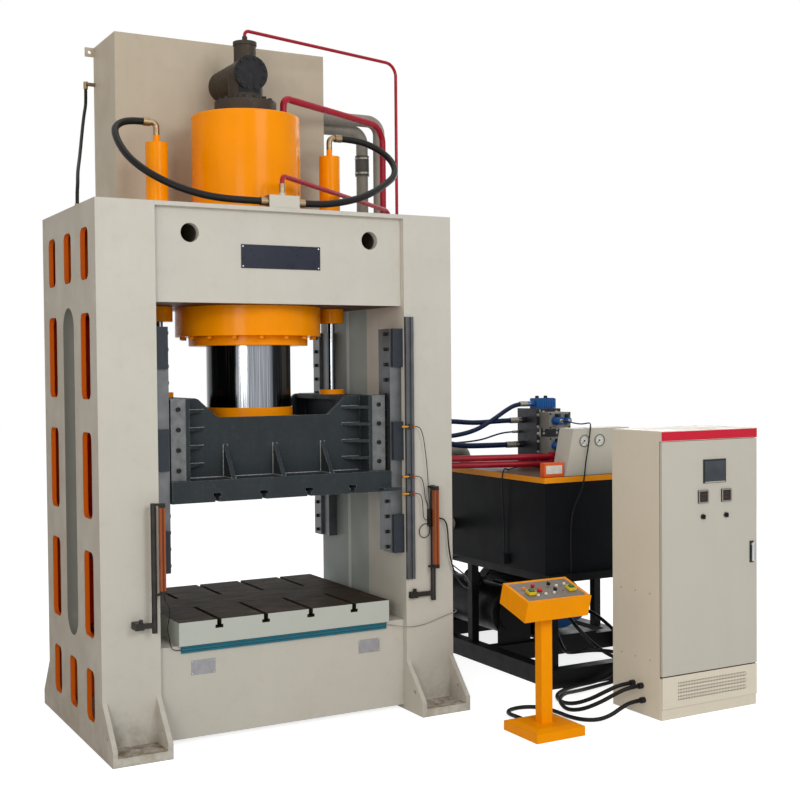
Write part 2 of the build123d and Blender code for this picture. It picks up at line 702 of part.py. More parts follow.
def post(x, y, z, r):
    """Vertical round bar from z[0] to z[1]."""
    return Pos(x, y, z[0]) * Cylinder(r, z[1] - z[0], align=(Align.CENTER, Align.CENTER, Align.MIN))


def bar_x(x, y, z, r):
    """Round bar along X from x[0] to x[1]."""
    return Pos(sum(x) / 2, y, z) * Rot(0, 90, 0) * Cylinder(r, x[1] - x[0])


def bar_y(x, y, z, r):
    """Round bar along Y from y[0] to y[1]."""
    return Pos(x, sum(y) / 2, z) * Rot(90, 0, 0) * Cylinder(r, y[1] - y[0])


def plate_yz(points, x):
    """Plate with a profile in Y and Z, between x[0] and x[1]."""
    face = Plane((x[0], 0, 0), x_dir=(0, 1, 0), z_dir=(1, 0, 0)) * make_face(Polyline(*points, close=True))
    return extrude(face, x[1] - x[0])


def plate_xz(points, y):
    """Plate with a profile in X and Z, between y[0] and y[1]."""
    face = Plane((0, y[1], 0), x_dir=(1, 0, 0), z_dir=(0, -1, 0)) * make_face(Polyline(*points, close=True))
    return extrude(face, y[1] - y[0])


def plate_xy(points, z):
    """Plate with a profile in X and Y, between z[0] and z[1]."""
    face = Plane((0, 0, z[0])) * make_face(Polyline(*points, close=True))
    return extrude(face, z[1] - z[0])


def group(*shapes):
    """Separate solids in one node."""
    solids = []
    for shape in shapes:
        solids += list(shape.solids())
    return Compound(children=solids)


def left_right(shape):
    """The shape and its mirror image across the middle of the press."""
    return [shape, mirror(shape, about=Plane.YZ)]


def front_rear(shape):
    """The shape and its mirror image behind the cylinder axis."""
    return [shape, mirror(shape, about=Plane.XZ)]


def four_corners(shape):
    """The shape in all four corners of the press."""
    return [copy for half in left_right(shape) for copy in front_rear(half)]


def route_radii(points, share=0.45):
    """Bend radius at each corner: a share of the shorter run over the tangent of half the turn."""
    radii = []
    for before, corner, after in zip(points, points[1:], points[2:]):
        run_in = Vector(*corner) - Vector(*before)
        run_out = Vector(*after) - Vector(*corner)
        turn = radians(run_in.get_angle(run_out))
        radii.append(share * min(run_in.length, run_out.length) / tan(turn / 2))
    return radii


def swept(path, r, bore=0):
    """Round bar, or tube with a bore, along a path."""
    section = Plane(origin=path @ 0, z_dir=path % 0) * Circle(r)
    if bore:
        section -= Plane(origin=path @ 0, z_dir=path % 0) * Circle(bore)
    return sweep(section, path=path)


def cord(name, points, diameter):
    """Free cord along its route, with bends as large as its runs allow."""
    radii = route_radii(points)
    path = FilletPolyline(*points, radius=radii)
    tube = swept(path, diameter / 2)
    section_volume = pi * diameter ** 2 / 4 * path.length
    print(f"{name}: length {path.length:.0f}, radii {min(radii):.0f} to {max(radii):.0f},",
          f"volume share {tube.volume / section_volume:.4f}")
    return tube


def fit_route(points, start, end):
    """The route moved to its two fittings, where they stand elsewhere than in the press as drawn."""
    first = Vector(*start) - Vector(*points[0])
    last = Vector(*end) - Vector(*points[-1])
    steps = len(points) - 3
    moved = []
    for number, point in enumerate(points):
        share = min(max(number - 1, 0) / steps, 1)
        moved.append(tuple(Vector(*point) + first * (1 - share) + last * share))
    return moved


def pipe(points, r, bend, wall=PIPE_WALL):
    """Rigid tube with one bend radius."""
    return swept(FilletPolyline(*points, radius=bend), r, r - wall)


def tee_slots(z_face, up):
    """T-slot cutters for both edges, opening up or down from z_face."""
    way = 1 if up else -1
    cutters = []
    for x in SLOT_XS:
        neck = sorted((z_face + way, z_face - way * SLOT_DEPTH))
        head = sorted((z_face - way * (SLOT_DEPTH - SLOT_HEAD_H), z_face - way * SLOT_DEPTH))
        half_d = (BOLSTER_D if up else SLIDE_D) / 2
        run = (-half_d - 1, -half_d + SLOT_RUN)
        tee = block((x - SLOT_NECK / 2, x + SLOT_NECK / 2), run, neck)
        tee += block((x - SLOT_HEAD / 2, x + SLOT_HEAD / 2), run, head)
        cutters += front_rear(tee)
    return cutters


def upright_plate_outline():
    """Side plate with its flared feet."""
    return [(-HALF_D, FRAME_H), (-HALF_D, GUSSET_TOP), (-HALF_D - FOOT_FRONT, GUSSET_TOE),
            (-HALF_D - FOOT_FRONT, 0), (HALF_D + FOOT_REAR, 0), (HALF_D + FOOT_REAR, GUSSET_TOE),
            (HALF_D, GUSSET_TOP), (HALF_D, FRAME_H)]


def windows():
    """Cutters for the windows in the outer plate."""
    sizes = [(y, z, WINDOW_END_W, WINDOW_END_H)
             for y in (-WINDOW_COLUMN, 0, WINDOW_COLUMN) for z in WINDOW_END_ROWS]
    sizes += [(y, z, WINDOW_W, WINDOW_H) for y in (-WINDOW_COLUMN, WINDOW_COLUMN) for z in WINDOW_ROWS]
    cutters = []
    for y, z, width, height in sizes:
        plane = Plane((OUTER_X - SIDE_T - 1, y, z), x_dir=(0, 1, 0), z_dir=(1, 0, 0))
        cutters.append(extrude(plane * RectangleRounded(width, height, WINDOW_R), SIDE_T + 2))
    return cutters


def channel(r, z):
    """Half-round channel with round ends, on the outer face."""
    body = post(OUTER_X, 0, (z[0] + CHANNEL_R, z[1] - CHANNEL_R), r)
    for end in (z[0] + CHANNEL_R, z[1] - CHANNEL_R):
        body += Pos(OUTER_X, 0, end) * Sphere(r)
    return body


def upright():
    """Right upright: a welded box with windows, a pipe channel and flared feet."""
    outline = upright_plate_outline()
    shell = plate_yz(outline, (OUTER_X - SIDE_T, OUTER_X)) + plate_yz(outline, (INNER_X, INNER_X + SIDE_T))
    span = (INNER_X, OUTER_X)
    for face in front_rear(block(span, (-HALF_D, -HALF_D + FACE_T), (0, FRAME_H))):
        shell += face
    shell += block(span, (-HALF_D - FOOT_FRONT, HALF_D + FOOT_REAR), (0, FOOT_T))
    shell += block(span, (-HALF_D, HALF_D), (FRAME_H - SIDE_T, FRAME_H))
    rows = sorted(WINDOW_ROWS + WINDOW_END_ROWS)
    for low, high in zip(rows, rows[1:]):
        mid = (low + high) / 2
        shell += block(span, (-HALF_D, HALF_D), (mid - DIAPHRAGM_T / 2, mid + DIAPHRAGM_T / 2))
    wall = channel(CHANNEL_R + CHANNEL_WALL, CHANNEL_Z)
    wall &= block(span, (-HALF_D, HALF_D), (0, FRAME_H))
    shell += wall
    shell -= channel(CHANNEL_R, CHANNEL_Z)
    for cutter in windows():
        shell -= cutter
    for y in (-ANCHOR_Y, ANCHOR_Y):
        shell -= post(ANCHOR_X, y, (-1, FOOT_T + 1), ANCHOR_R)
    shell -= bar_x((INNER_X - 1, OUTER_X + 1), -HALF_D - FOOT_FRONT / 2, GUSSET_TOE + FOOT_T, LASHING_R)
    return shell


def crown():
    """Welded crown with lifting holes, bored for the three cylinders."""
    span = (-INNER_X, INNER_X)
    body = block(span, (-FACE_Y, FACE_Y), (CROWN_Z, CROWN_Z + CROWN_BASE_T))
    body += block(span, (-HALF_D, HALF_D), (FRAME_H - CROWN_TOP_T, FRAME_H))
    for face in front_rear(block(span, (-FACE_Y, -FACE_Y + CROWN_PLATE), (CROWN_Z, FRAME_H))):
        body += face
    rib_x = (CROWN_RIB_X, CROWN_RIB_X + CROWN_RIB_T)
    for rib in left_right(block(rib_x, (-FACE_Y, FACE_Y), (CROWN_Z, FRAME_H))):
        body += rib
    for end in left_right(block((INNER_X - SIDE_T, INNER_X), (-FACE_Y, FACE_Y), (CROWN_Z, FRAME_H))):
        body += end
    body += post(0, 0, (CROWN_Z, FRAME_H), BARREL_R + SIDE_T)
    body -= post(0, 0, (CROWN_Z - 1, FRAME_H + 1), BARREL_R + SEAT_FIT)
    for x in (-RETURN_X, RETURN_X):
        body -= post(x, 0, (CROWN_Z - 1, FRAME_H + 1), RETURN_R + SEAT_FIT)
    for x in (-LIFT_HOLE_X, LIFT_HOLE_X):
        body -= bar_y(x, (-FACE_Y - 1, -FACE_Y + CROWN_PLATE + 1), LIFT_HOLE_Z, LIFT_HOLE_R)
    return body


def bed():
    """Box bed between the uprights, open below, with cross ribs."""
    span = (-INNER_X, INNER_X)
    body = block(span, (-FACE_Y, FACE_Y), BED_Z)
    bay = (2 * INNER_X - (BED_BAYS + 1) * BED_PLATE) / BED_BAYS
    for step in range(BED_BAYS):
        mid = (step - (BED_BAYS - 1) / 2) * (bay + BED_PLATE)
        body -= block((mid - bay / 2, mid + bay / 2), (-FACE_Y + BED_PLATE, FACE_Y - BED_PLATE),
                      (BED_Z[0] - 1, BED_Z[1] - BED_PLATE))
    return body


def bolster_plate():
    """Bolster with four short T-slots in from each edge."""
    body = block((-BOLSTER_W / 2, BOLSTER_W / 2), (-BOLSTER_D / 2, BOLSTER_D / 2), (BED_Z[1], BOLSTER_TOP))
    for cutter in tee_slots(BOLSTER_TOP, up=True):
        body -= cutter
    return body


def main_cylinder():
    """Forged cylinder: barrel through the crown and flange below it."""
    body = post(0, 0, (FLANGE_Z, BARREL_TOP), BARREL_R) + post(0, 0, (FLANGE_Z, CROWN_Z), FLANGE_R)
    body = fillet(body.edges().group_by(Axis.Z)[-1], 10)
    body -= post(0, 0, (FLANGE_Z - 1, BARREL_TOP - BARREL_HEAD_T), BARREL_BORE_R)
    body -= post(0, 0, (BARREL_TOP - BARREL_HEAD_T - 1, BARREL_TOP + 1), POPPET_R + POPPET_ROOM)
    return body


def gland_ring():
    """Gland with its guide spigot up inside the barrel."""
    body = post(0, 0, (FLANGE_Z - GLAND_T, FLANGE_Z), GLAND_R)
    body += post(0, 0, (FLANGE_Z, FLANGE_Z + GLAND_SPIGOT), BARREL_BORE_R - SEAT_FIT)
    body -= post(0, 0, (FLANGE_Z - GLAND_T - 1, FLANGE_Z + GLAND_SPIGOT + 1), PLUNGER_R + RUN_FIT)
    return chamfer(body.edges().group_by(Axis.Z)[0], 3)


def gland_and_bolts():
    """Gland ring, with the heads of the bolts that hold the cylinder flange up to the crown."""
    heads = [gland_ring()]
    for step in range(BOLT_COUNT):
        angle = 2 * pi * (step + 0.5) / BOLT_COUNT
        x, y = BOLT_CIRCLE_R * cos(angle), BOLT_CIRCLE_R * sin(angle)
        heads.append(post(x, y, (FLANGE_Z - BOLT_HEAD_H, FLANGE_Z), BOLT_HEAD_R))
    return group(*heads)


def plunger():
    """Hollow ram with a clamped foot."""
    neck_z = (PLUNGER_SEAT + CLAMP_LIP, PLUNGER_SEAT + CLAMP_T)
    body = post(0, 0, (neck_z[1], PLUNGER_TOP), PLUNGER_R)
    body += post(0, 0, neck_z, PLUNGER_R - PLUNGER_NECK)
    body += post(0, 0, (PLUNGER_SEAT, neck_z[0]), PLUNGER_R - PLUNGER_FOOT)
    body -= post(0, 0, (neck_z[1] + PLUNGER_WALL, PLUNGER_TOP + 1), PLUNGER_R - PLUNGER_WALL)
    return chamfer(body.edges().group_by(Axis.Z)[-1], 4)


def return_rod():
    """Chrome rod with its piston above and a foot below."""
    body = post(RETURN_X, 0, (SLIDE_TOP, PISTON_Z[0]), ROD_R)
    body += post(RETURN_X, 0, PISTON_Z, RETURN_BORE_R - RUN_FIT)
    body += post(RETURN_X, 0, (SLIDE_TOP, SLIDE_TOP + FOOT_DISC_T / 2), ROD_R + ROD_COLLAR)
    return body


def clamp_discs():
    """Clamp rings over the feet of the plunger and the two return rods."""
    ring = post(0, 0, (PLUNGER_SEAT, PLUNGER_SEAT + CLAMP_T), CLAMP_R)
    ring -= post(0, 0, (PLUNGER_SEAT - 1, PLUNGER_SEAT + CLAMP_T + 1), PLUNGER_R - PLUNGER_NECK + SEAT_FIT)
    ring -= post(0, 0, (PLUNGER_SEAT - 1, PLUNGER_SEAT + CLAMP_LIP), PLUNGER_R - PLUNGER_FOOT + SEAT_FIT)
    disc = post(RETURN_X, 0, (SLIDE_TOP, SLIDE_TOP + FOOT_DISC_T), FOOT_DISC_R)
    disc -= post(RETURN_X, 0, (SLIDE_TOP - 1, SLIDE_TOP + FOOT_DISC_T + 1), ROD_R + SEAT_FIT)
    disc -= post(RETURN_X, 0, (SLIDE_TOP - 1, SLIDE_TOP + FOOT_DISC_T / 2), ROD_R + ROD_COLLAR + SEAT_FIT)
    return group(ring, *left_right(disc))


def return_cylinder():
    """Right return cylinder, hung through the crown by its lower flange."""
    body = post(RETURN_X, 0, (RETURN_FLANGE_Z, RETURN_TOP), RETURN_R)
    body += post(RETURN_X, 0, (RETURN_FLANGE_Z, CROWN_Z), RETURN_FLANGE_R)
    body += post(RETURN_X, 0, (RETURN_TOP, RETURN_TOP + RETURN_NECK_H), RETURN_NECK_R)
    body -= post(RETURN_X, 0, (RETURN_FLANGE_Z + RETURN_GLAND_T, RETURN_TOP - RETURN_HEAD_T), RETURN_BORE_R)
    body -= post(RETURN_X, 0, (RETURN_FLANGE_Z - 1, RETURN_FLANGE_Z + RETURN_GLAND_T + 1), ROD_R + RUN_FIT)
    body -= post(RETURN_X, 0, (RETURN_TOP - RETURN_HEAD_T - 1, RETURN_TOP + RETURN_NECK_H + 1), PORT_R)
    return body


def slide_web():
    """Front web of the slide, notched for the plunger."""
    outline = [(-WEB_X, SLIDE_BASE_TOP), (WEB_X, SLIDE_BASE_TOP), (WEB_X, SLIDE_TOP),
               (NOTCH_TOP_X, SLIDE_TOP), (NOTCH_X, NOTCH_Z), (-NOTCH_X, NOTCH_Z),
               (-NOTCH_TOP_X, SLIDE_TOP), (-WEB_X, SLIDE_TOP)]
    web = plate_xz(outline, (-WEB_Y, -WEB_Y + WEB_T))
    corners = [edge for edge in web.edges().filter_by(Axis.Y) if abs(edge.center().X) < WEB_X - WEB_T
               and edge.center().Z > SLIDE_BASE_TOP + WEB_T]
    return fillet(corners, NOTCH_R)


def slide_body():
    """Welded slide: T-slotted base, notched webs, ribbed corners and the plunger seat."""
    body = block((-SLIDE_W / 2, SLIDE_W / 2), (-SLIDE_D / 2, SLIDE_D / 2), (SLIDE_Z, SLIDE_BASE_TOP))
    for cutter in tee_slots(SLIDE_Z, up=False):
        body -= cutter
    half = RAIL_SCREW_R + SLIDE_GAP
    groove = block((SHOE_X, SLIDE_W / 2 + 1), (-RAIL_SCREW_Y - half, -RAIL_SCREW_Y + half),
                   (SLIDE_Z - 1, SLIDE_BASE_TOP + 1))
    for cutter in four_corners(groove):
        body -= cutter
    height = (SLIDE_BASE_TOP, SLIDE_TOP)
    for web in front_rear(slide_web()):
        body += web
    for plate in four_corners(block(POST_X, (-POST_Y, -WEB_Y), height)):
        body += plate
    for step in range(RIB_COUNT):
        z = RIB_Z0 + step * RIB_PITCH
        outline = [(POST_X[0], -POST_Y + SLIDE_GAP), (POST_X[0], -WEB_Y), (RIB_X, -WEB_Y)]
        rib = plate_xy(outline, (z - RIB_T / 2, z + RIB_T / 2))
        for copy in four_corners(rib):
            body += copy
    for x in (-TOE_X, 0, TOE_X):
        outline = [(-WEB_Y - TOE_RUN, SLIDE_BASE_TOP), (-WEB_Y, SLIDE_BASE_TOP),
                   (-WEB_Y, SLIDE_BASE_TOP + TOE_H)]
        toe = plate_yz(outline, (x - TOE_T / 2, x + TOE_T / 2))
        for copy in front_rear(toe):
            body += copy
    side_x = (WEB_X - WEB_T, WEB_X)
    web_y = WEB_Y - WEB_T
    for side in left_right(block(side_x, (-web_y, web_y), height)):
        body += side
    shelf_x = (NOTCH_TOP_X, RETURN_X + FOOT_DISC_R + SHELF_RIM)
    for shelf in left_right(block(shelf_x, (-web_y, web_y), (SLIDE_TOP - SHELF_T, SLIDE_TOP))):
        body += shelf
    knee_z = (SLIDE_TOP - SHELF_T - KNEE_H, SLIDE_TOP - SHELF_T)
    for knee in left_right(block((WEB_X, RETURN_X + FOOT_DISC_R), (-SHELF_T / 2, SHELF_T / 2), knee_z)):
        body += knee
    seat_z = (PLUNGER_SEAT - SEAT_PLATE_T, PLUNGER_SEAT)
    body += block((-SEAT_HALF, SEAT_HALF), (-SEAT_HALF, SEAT_HALF), seat_z)
    hub_z = (SLIDE_BASE_TOP, seat_z[0])
    body += post(0, 0, hub_z, HUB_R) - post(0, 0, hub_z, HUB_R - HUB_WALL)
    reach = hypot(side_x[0], web_y)
    spoke = block((HUB_R - HUB_WALL / 2, reach - WEB_T / 2), (-SPOKE_T / 2, SPOKE_T / 2), hub_z)
    lean = degrees(atan2(web_y, side_x[0]))
    for angle in (lean, 180 - lean, 180 + lean, -lean):
        body += Rot(0, 0, angle) * spoke
    return body


def striker():
    """Striker bar that the limit sensors see, on the slide's front edge."""
    z = SLIDE_Z + STRIKER_RISE
    half = STRIKER_T / 2
    foot = block(STRIKER_X[:2], (SENSOR_Y - half, -SLIDE_D / 2), (z - half, z + half))
    return foot + block(STRIKER_X[1:], (SENSOR_Y - half, SENSOR_Y + half), (z - half, z + half))


def guide_shoe():
    """Steel shoe with the ear that runs behind the rail's step."""
    height = (SLIDE_BASE_TOP, SLIDE_TOP)
    body = block((POST_X[1], SHOE_X), (-POST_Y, -RAIL_Y[2]), height)
    return body + block((SHOE_X, RAIL_BACK_X - RUN_FIT), (-RAIL_Y[1] + RUN_FIT, -RAIL_Y[2]), height)


def guide_rail():
    """Stepped rail on the inner face of an upright."""
    return (block((RAIL_X, INNER_X), (-RAIL_Y[0], -RAIL_Y[1]), RAIL_Z)
            + block((RAIL_BACK_X, INNER_X), (-RAIL_Y[1], -RAIL_Y[2]), RAIL_Z))


def rail_clamp_blocks():
    """Blocks that clamp each rail to its upright."""
    blocks = []
    for mid in BLOCK_MIDS:
        clamp = block((BLOCK_X, INNER_X), (-BLOCK_Y, -RAIL_Y[0]), (mid - BLOCK_H / 2, mid + BLOCK_H / 2))
        blocks += four_corners(clamp)
    return group(*blocks)


def socket_screws():
    """Screws of the guide rails and of the prefill valve's flange."""
    screws = []
    mid = sum(RAIL_Z) / 2
    for step in range(RAIL_SCREW_COUNT):
        z = mid + (step - (RAIL_SCREW_COUNT - 1) / 2) * RAIL_SCREW_PITCH
        head = bar_x((RAIL_X - RAIL_SCREW_H, RAIL_X), -RAIL_SCREW_Y, z, RAIL_SCREW_R)
        screws += four_corners(head)
    for step in range(VALVE_SCREW_COUNT):
        angle = 2 * pi * step / VALVE_SCREW_COUNT
        circle = VALVE_FLANGE_R - 2 * VALVE_SCREW_R
        z = BARREL_TOP + VALVE_FLANGE_T
        screws.append(post(circle * cos(angle), circle * sin(angle), (z, z + VALVE_SCREW_H), VALVE_SCREW_R))
    return group(*screws)


def prefill_valve_body():
    """Prefill valve: flange, cross body towards the tank and pilot cylinder on top."""
    flange_top = BARREL_TOP + VALVE_FLANGE_T
    body = post(0, 0, (BARREL_TOP, flange_top), VALVE_FLANGE_R)
    body += post(0, 0, (flange_top, VALVE_AXIS_Z), VALVE_NECK_R)
    body += bar_y(0, (VALVE_FRONT_Y, TANK_Y[0]), VALVE_AXIS_Z, VALVE_BODY_R)
    body += bar_y(0, (VALVE_FRONT_Y - VALVE_COVER_T, VALVE_FRONT_Y), VALVE_AXIS_Z, VALVE_COVER_R)
    body += post(0, 0, (VALVE_AXIS_Z, PILOT_TOP), PILOT_R)
    body += post(0, 0, (PILOT_TOP - PILOT_RIM_T, PILOT_TOP), PILOT_R + PILOT_RIM)
    body += post(0, 0, (PILOT_TOP, PILOT_TOP + PILOT_NIPPLE_H), PILOT_NIPPLE_R)
    body -= post(0, 0, (BARREL_TOP - 1, VALVE_AXIS_Z + VALVE_BORE_R / 2), VALVE_BORE_R)
    body -= bar_y(0, (VALVE_FRONT_Y + VALVE_WALL, TANK_Y[0] + 1), VALVE_AXIS_Z, VALVE_BORE_R)
    body -= post(0, 0, (VALVE_AXIS_Z, PILOT_BORE[0] + 1), POPPET_STEM_R + RUN_FIT)
    body -= post(0, 0, PILOT_BORE, PILOT_BORE_R + RUN_FIT)
    return body


def prefill_poppet():
    """Poppet that seats under the valve's flange, with its stem and pilot piston."""
    standing = (Align.CENTER, Align.CENTER, Align.MIN)
    cone = Cone(POPPET_R - POPPET_TAPER, POPPET_R, POPPET_T, align=standing)
    body = Pos(0, 0, BARREL_TOP - POPPET_T) * cone + post(0, 0, (BARREL_TOP, PILOT_PISTON_Z), POPPET_STEM_R)
    return body + post(0, 0, (PILOT_PISTON_Z, PILOT_PISTON_Z + PILOT_PISTON_T), PILOT_BORE_R)


def upper_tank():
    """Sheet-steel oil tank on two skids behind the main cylinder."""
    body = block((-TANK_X, TANK_X), TANK_Y, TANK_Z)
    inside = [(-TANK_X + TANK_WALL, TANK_X - TANK_WALL), (TANK_Y[0] + TANK_WALL, TANK_Y[1] - TANK_WALL),
              (TANK_Z[0] + TANK_WALL, TANK_Z[1] - TANK_WALL)]
    body -= block(*inside)
    body -= bar_y(0, (TANK_Y[0] - 1, TANK_Y[0] + TANK_WALL + 1), VALVE_AXIS_Z, VALVE_BORE_R)
    for y, z in SUCTION_AT:
        body -= bar_x((TANK_X - TANK_WALL - 1, TANK_X + 1), y, z, SUCTION_R - SUCTION_WALL)
    for x in (-SKID_X, SKID_X):
        body += block((x - SKID_W / 2, x + SKID_W / 2), TANK_Y, (FRAME_H, TANK_Z[0]))
    lug = block((TANK_X, TANK_X + LUG), (TANK_Y[1] - LUG_T, TANK_Y[1]), (TANK_Z[1] - LUG, TANK_Z[1]))
    lug -= bar_y(TANK_X + LUG / 2, (TANK_Y[1] - LUG_T - 1, TANK_Y[1] + 1), TANK_Z[1] - LUG / 2, LUG / 5)
    for copy in left_right(lug):
        body += copy
    return body


def tee_block():
    """Block that joins the two return hoses and the lowering line."""
    x, y, z = TEE
    body = block((-x / 2, x / 2), (TEE_Y - y / 2, TEE_Y + y / 2), (TEE_Z, TEE_Z + z))
    body += post(0, TEE_Y, (TEE_Z + z, LOWER_LINE_Z - LOWER_NIPPLE), LOWER_LINE_R + FERRULE_WALL)
    ferrule = bar_x((x / 2, x / 2 + FERRULE_L), TEE_Y, TEE_Z + z / 2, HOSE_D / 2 + FERRULE_WALL)
    for side in left_right(ferrule):
        body += side
    return body


def level_fittings():
    """Fittings of the tank level hose: on the tank's side and on the left upright."""
    x, y, z = LEVEL_START
    r = LEVEL_D / 2 + FERRULE_WALL
    upper = bar_x((x, -TANK_X), y, z + LEVEL_DROP, r - FERRULE_WALL / 2)
    upper += post(x, y, (z, z + LEVEL_DROP + r), r)
    x, y, z = LEVEL_END
    return [upper, post(x, y, (FRAME_H, z), r)]


def return_elbow():
    """Elbow from the right return cylinder's neck to its hose."""
    x, z = RETURN_X, RETURN_TOP + RETURN_NECK_H
    corners = [(x, 0, z), (x, 0, ELBOW_Z), (HOSE_START_X - FERRULE_L + 1, 0, ELBOW_Z)]
    elbow = pipe(corners, RETURN_NECK_R, ELBOW_BEND, RETURN_NECK_R - PORT_R)
    return elbow + bar_x((HOSE_START_X - FERRULE_L, HOSE_START_X), 0, ELBOW_Z, HOSE_D / 2 + FERRULE_WALL)


def suction_pipes():
    """Two suction pipes from the upper tank down to the oil tank, with a hose sleeve."""
    (y1, z1), (y2, z2) = SUCTION_AT
    corners = [(TANK_X, y1, z1), (PIPE_X, y1, z1), (PIPE_X, y1, SUCTION_LOW_Z),
               (SUCTION_END_X, y1, SUCTION_LOW_Z), (SUCTION_END_X, y1, LID_TOP)]
    low = pipe(corners, SUCTION_R, [SUCTION_BEND, SUCTION_BEND, SUCTION_END_BEND], SUCTION_WALL)
    sleeve = post(PIPE_X, y1, SLEEVE_Z, SUCTION_R + SLEEVE[2])
    low += sleeve - post(PIPE_X, y1, (SLEEVE_Z[0] - 1, SLEEVE_Z[1] + 1), SUCTION_R - 1)
    rim, flange_t = SUCTION_FLANGE
    flange = post(SUCTION_END_X, y1, (LID_TOP, LID_TOP + flange_t), SUCTION_R + rim)
    low += flange - post(SUCTION_END_X, y1, (LID_TOP - 1, LID_TOP + flange_t + 1), SUCTION_R - 1)
    high_x = PIPE_X + SUCTION_SPACING
    corners = [(TANK_X, y2, z2), (high_x, y2, z2), (high_x, y2, SUCTION_ENTRY_Z),
               (OIL_X[0], y2, SUCTION_ENTRY_Z)]
    return group(low, pipe(corners, SUCTION_R, SUCTION_BEND, SUCTION_WALL))


def port_block():
    """Block on the right upright where the steel lines meet the supply hoses."""
    body = block((OUTER_X, PORT_X), PORT_Y, PORT_Z)
    body = chamfer(body.edges().filter_by(Axis.Z), 4)
    for (x, y, z), diameter in zip(SUPPLY_STARTS, SUPPLY_D):
        body += bar_x((PORT_X, x), y, z, diameter / 2 + FERRULE_WALL)
    return body


def pressure_pipes():
    """Red steel lines from the cylinders to the port block, and from there to the power unit."""
    z = PILOT_TOP + PILOT_NIPPLE_H
    corners = [(0, 0, z), (0, 0, z + PILOT_LINE_RISE), (PIPE_X, PILOT_LINE_Y, z - LINE_FALL),
               (PIPE_X, PILOT_LINE_Y, PORT_Z[1])]
    pilot = pipe(corners, PILOT_LINE_R, [30, 90])
    z = LOWER_LINE_Z
    corners = [(0, TEE_Y, z - LOWER_NIPPLE), (0, TEE_Y, z), (PIPE_X, LOWER_LINE_Y, z - LOWER_LINE_FALL),
               (PIPE_X, LOWER_LINE_Y, PORT_Z[1])]
    lower = pipe(corners, LOWER_LINE_R, [34, 90])
    x = VALVE_FLANGE_R + PRESS_PORT_OUT
    z = BARREL_TOP + PRESS_LINE_RISE
    corners = [(x, 0, BARREL_TOP), (x, 0, z), (PIPE_X, PRESS_LINE_Y, z - PRESS_LINE_FALL),
               (PIPE_X, PRESS_LINE_Y, PORT_Z[1])]
    press = pipe(corners, PRESS_LINE_R, [52, 130])
    return group(pilot, lower, press, *power_links())


def power_links():
    """The two lines from the port block to the power unit, and the block that they end in."""
    x0, x1 = PORT_X + LINK_RUN[0], LINK_END_X - LINK_RUN[1]
    links = []
    for z in LINK_Z:
        corners = [(PORT_X, LINK_Y[0], z), (x0, LINK_Y[0], z), (x1, LINK_Y[1], z),
                   (LINK_END_X, LINK_Y[1], z)]
        links.append(pipe(corners, PRESS_LINE_R, LINK_BEND))
    length, depth, over = LINK_TEE
    y = (LINK_Y[1] + LINK_TEE_Y, LINK_Y[1] + LINK_TEE_Y + depth)
    tee = block((LINK_END_X, LINK_END_X + length), y, (LID_TOP, LINK_Z[1] + over))
    x, r = LINK_STUB
    tee += bar_y(LINK_END_X + x, (y[1], MANIFOLD_Y[0]), sum(LINK_Z) / 2, r)
    x, r, reach = LINK_PLUG
    tee += bar_y(LINK_END_X + x, (y[0] - reach, y[0]), LINK_Z[1], r)
    return links + [tee]


def sensor_rail():
    """Grooved rail for the limit sensors, on the right upright."""
    x0, x1 = SENSOR_RAIL_X
    front = -HALF_D - SENSOR_RAIL_T
    body = block(SENSOR_RAIL_X, (front, -HALF_D), SENSOR_RAIL_Z)
    mid = (x0 + x1) / 2
    low, high = SENSOR_RAIL_Z
    width, depth = SENSOR_GROOVE
    return body - block((mid - width / 2, mid + width / 2), (front - 1, front + depth), (low - 1, high + 1))


def proximity_sensors():
    """Three threaded sensors in clamps on the rail."""
    sensors = []
    front = -HALF_D - SENSOR_RAIL_T
    width, half = SENSOR_CLAMP
    x = SENSOR_RAIL_X[0] + SENSOR_CLAMP_IN
    for z in SENSOR_ZS:
        clamp = block((x, x + width), (SENSOR_Y - half, front), (z - half, z + half))
        sensors.append(clamp + bar_x(SENSOR_X, SENSOR_Y, z, SENSOR_R))
    return group(*sensors)


def light_curtains():
    """Emitter and receiver bars."""
    half = CURTAIN_W / 2
    span = (CURTAIN_Y - half, CURTAIN_Y + half)
    return group(*[block((x - half, x + half), span, CURTAIN_Z) for x in CURTAIN_BAR_X])


def light_curtain_stands():
    """Posts with clamps, on a bracket from each upright."""
    stands = []
    half = CURTAIN_W / 2
    foot_w, foot_h, bar_h, bar_w = CURTAIN_FOOT
    middle = CURTAIN_FOOT_Z
    for (x, y), bar_at, foot_x in zip(CURTAIN_POST, CURTAIN_BAR_X, CURTAIN_FOOT_X):
        stand = post(x, y, CURTAIN_POST_Z, CURTAIN_POST_R)
        reach = (min(x, bar_at - half) - CURTAIN_POST_R / 2, max(x, bar_at + half))
        for z in (CURTAIN_Z[0] - ARM_T, CURTAIN_Z[1]):
            stand += block(reach, (CURTAIN_Y - ARM_HALF, y + ARM_HALF), (z, z + ARM_T))
        reach = (min(foot_x, x), max(foot_x, x))
        stand += block(reach, (y - bar_w / 2, y + bar_w / 2), (middle - bar_h / 2, middle + bar_h / 2))
        foot_span = (foot_x - foot_w / 2, foot_x + foot_w / 2)
        stand += block(foot_span, (y - CURTAIN_POST_R, -HALF_D), (middle - foot_h / 2, middle + foot_h / 2))
        offset, height, r = STAND_SCREW
        stand += post(foot_x + offset, y, (middle, middle + height), r)
        stands.append(stand)
    stands[1] += block(JUNCTION_X, JUNCTION_Y, JUNCTION_Z)
    return group(*stands)


def frame_ring(x, y, z, width):
    """Rectangular frame of bars of one width."""
    inside = block((x[0] + width, x[1] - width), (y[0] + width, y[1] - width), (z[0] - 1, z[1] + 1))
    return block(x, y, z) - inside


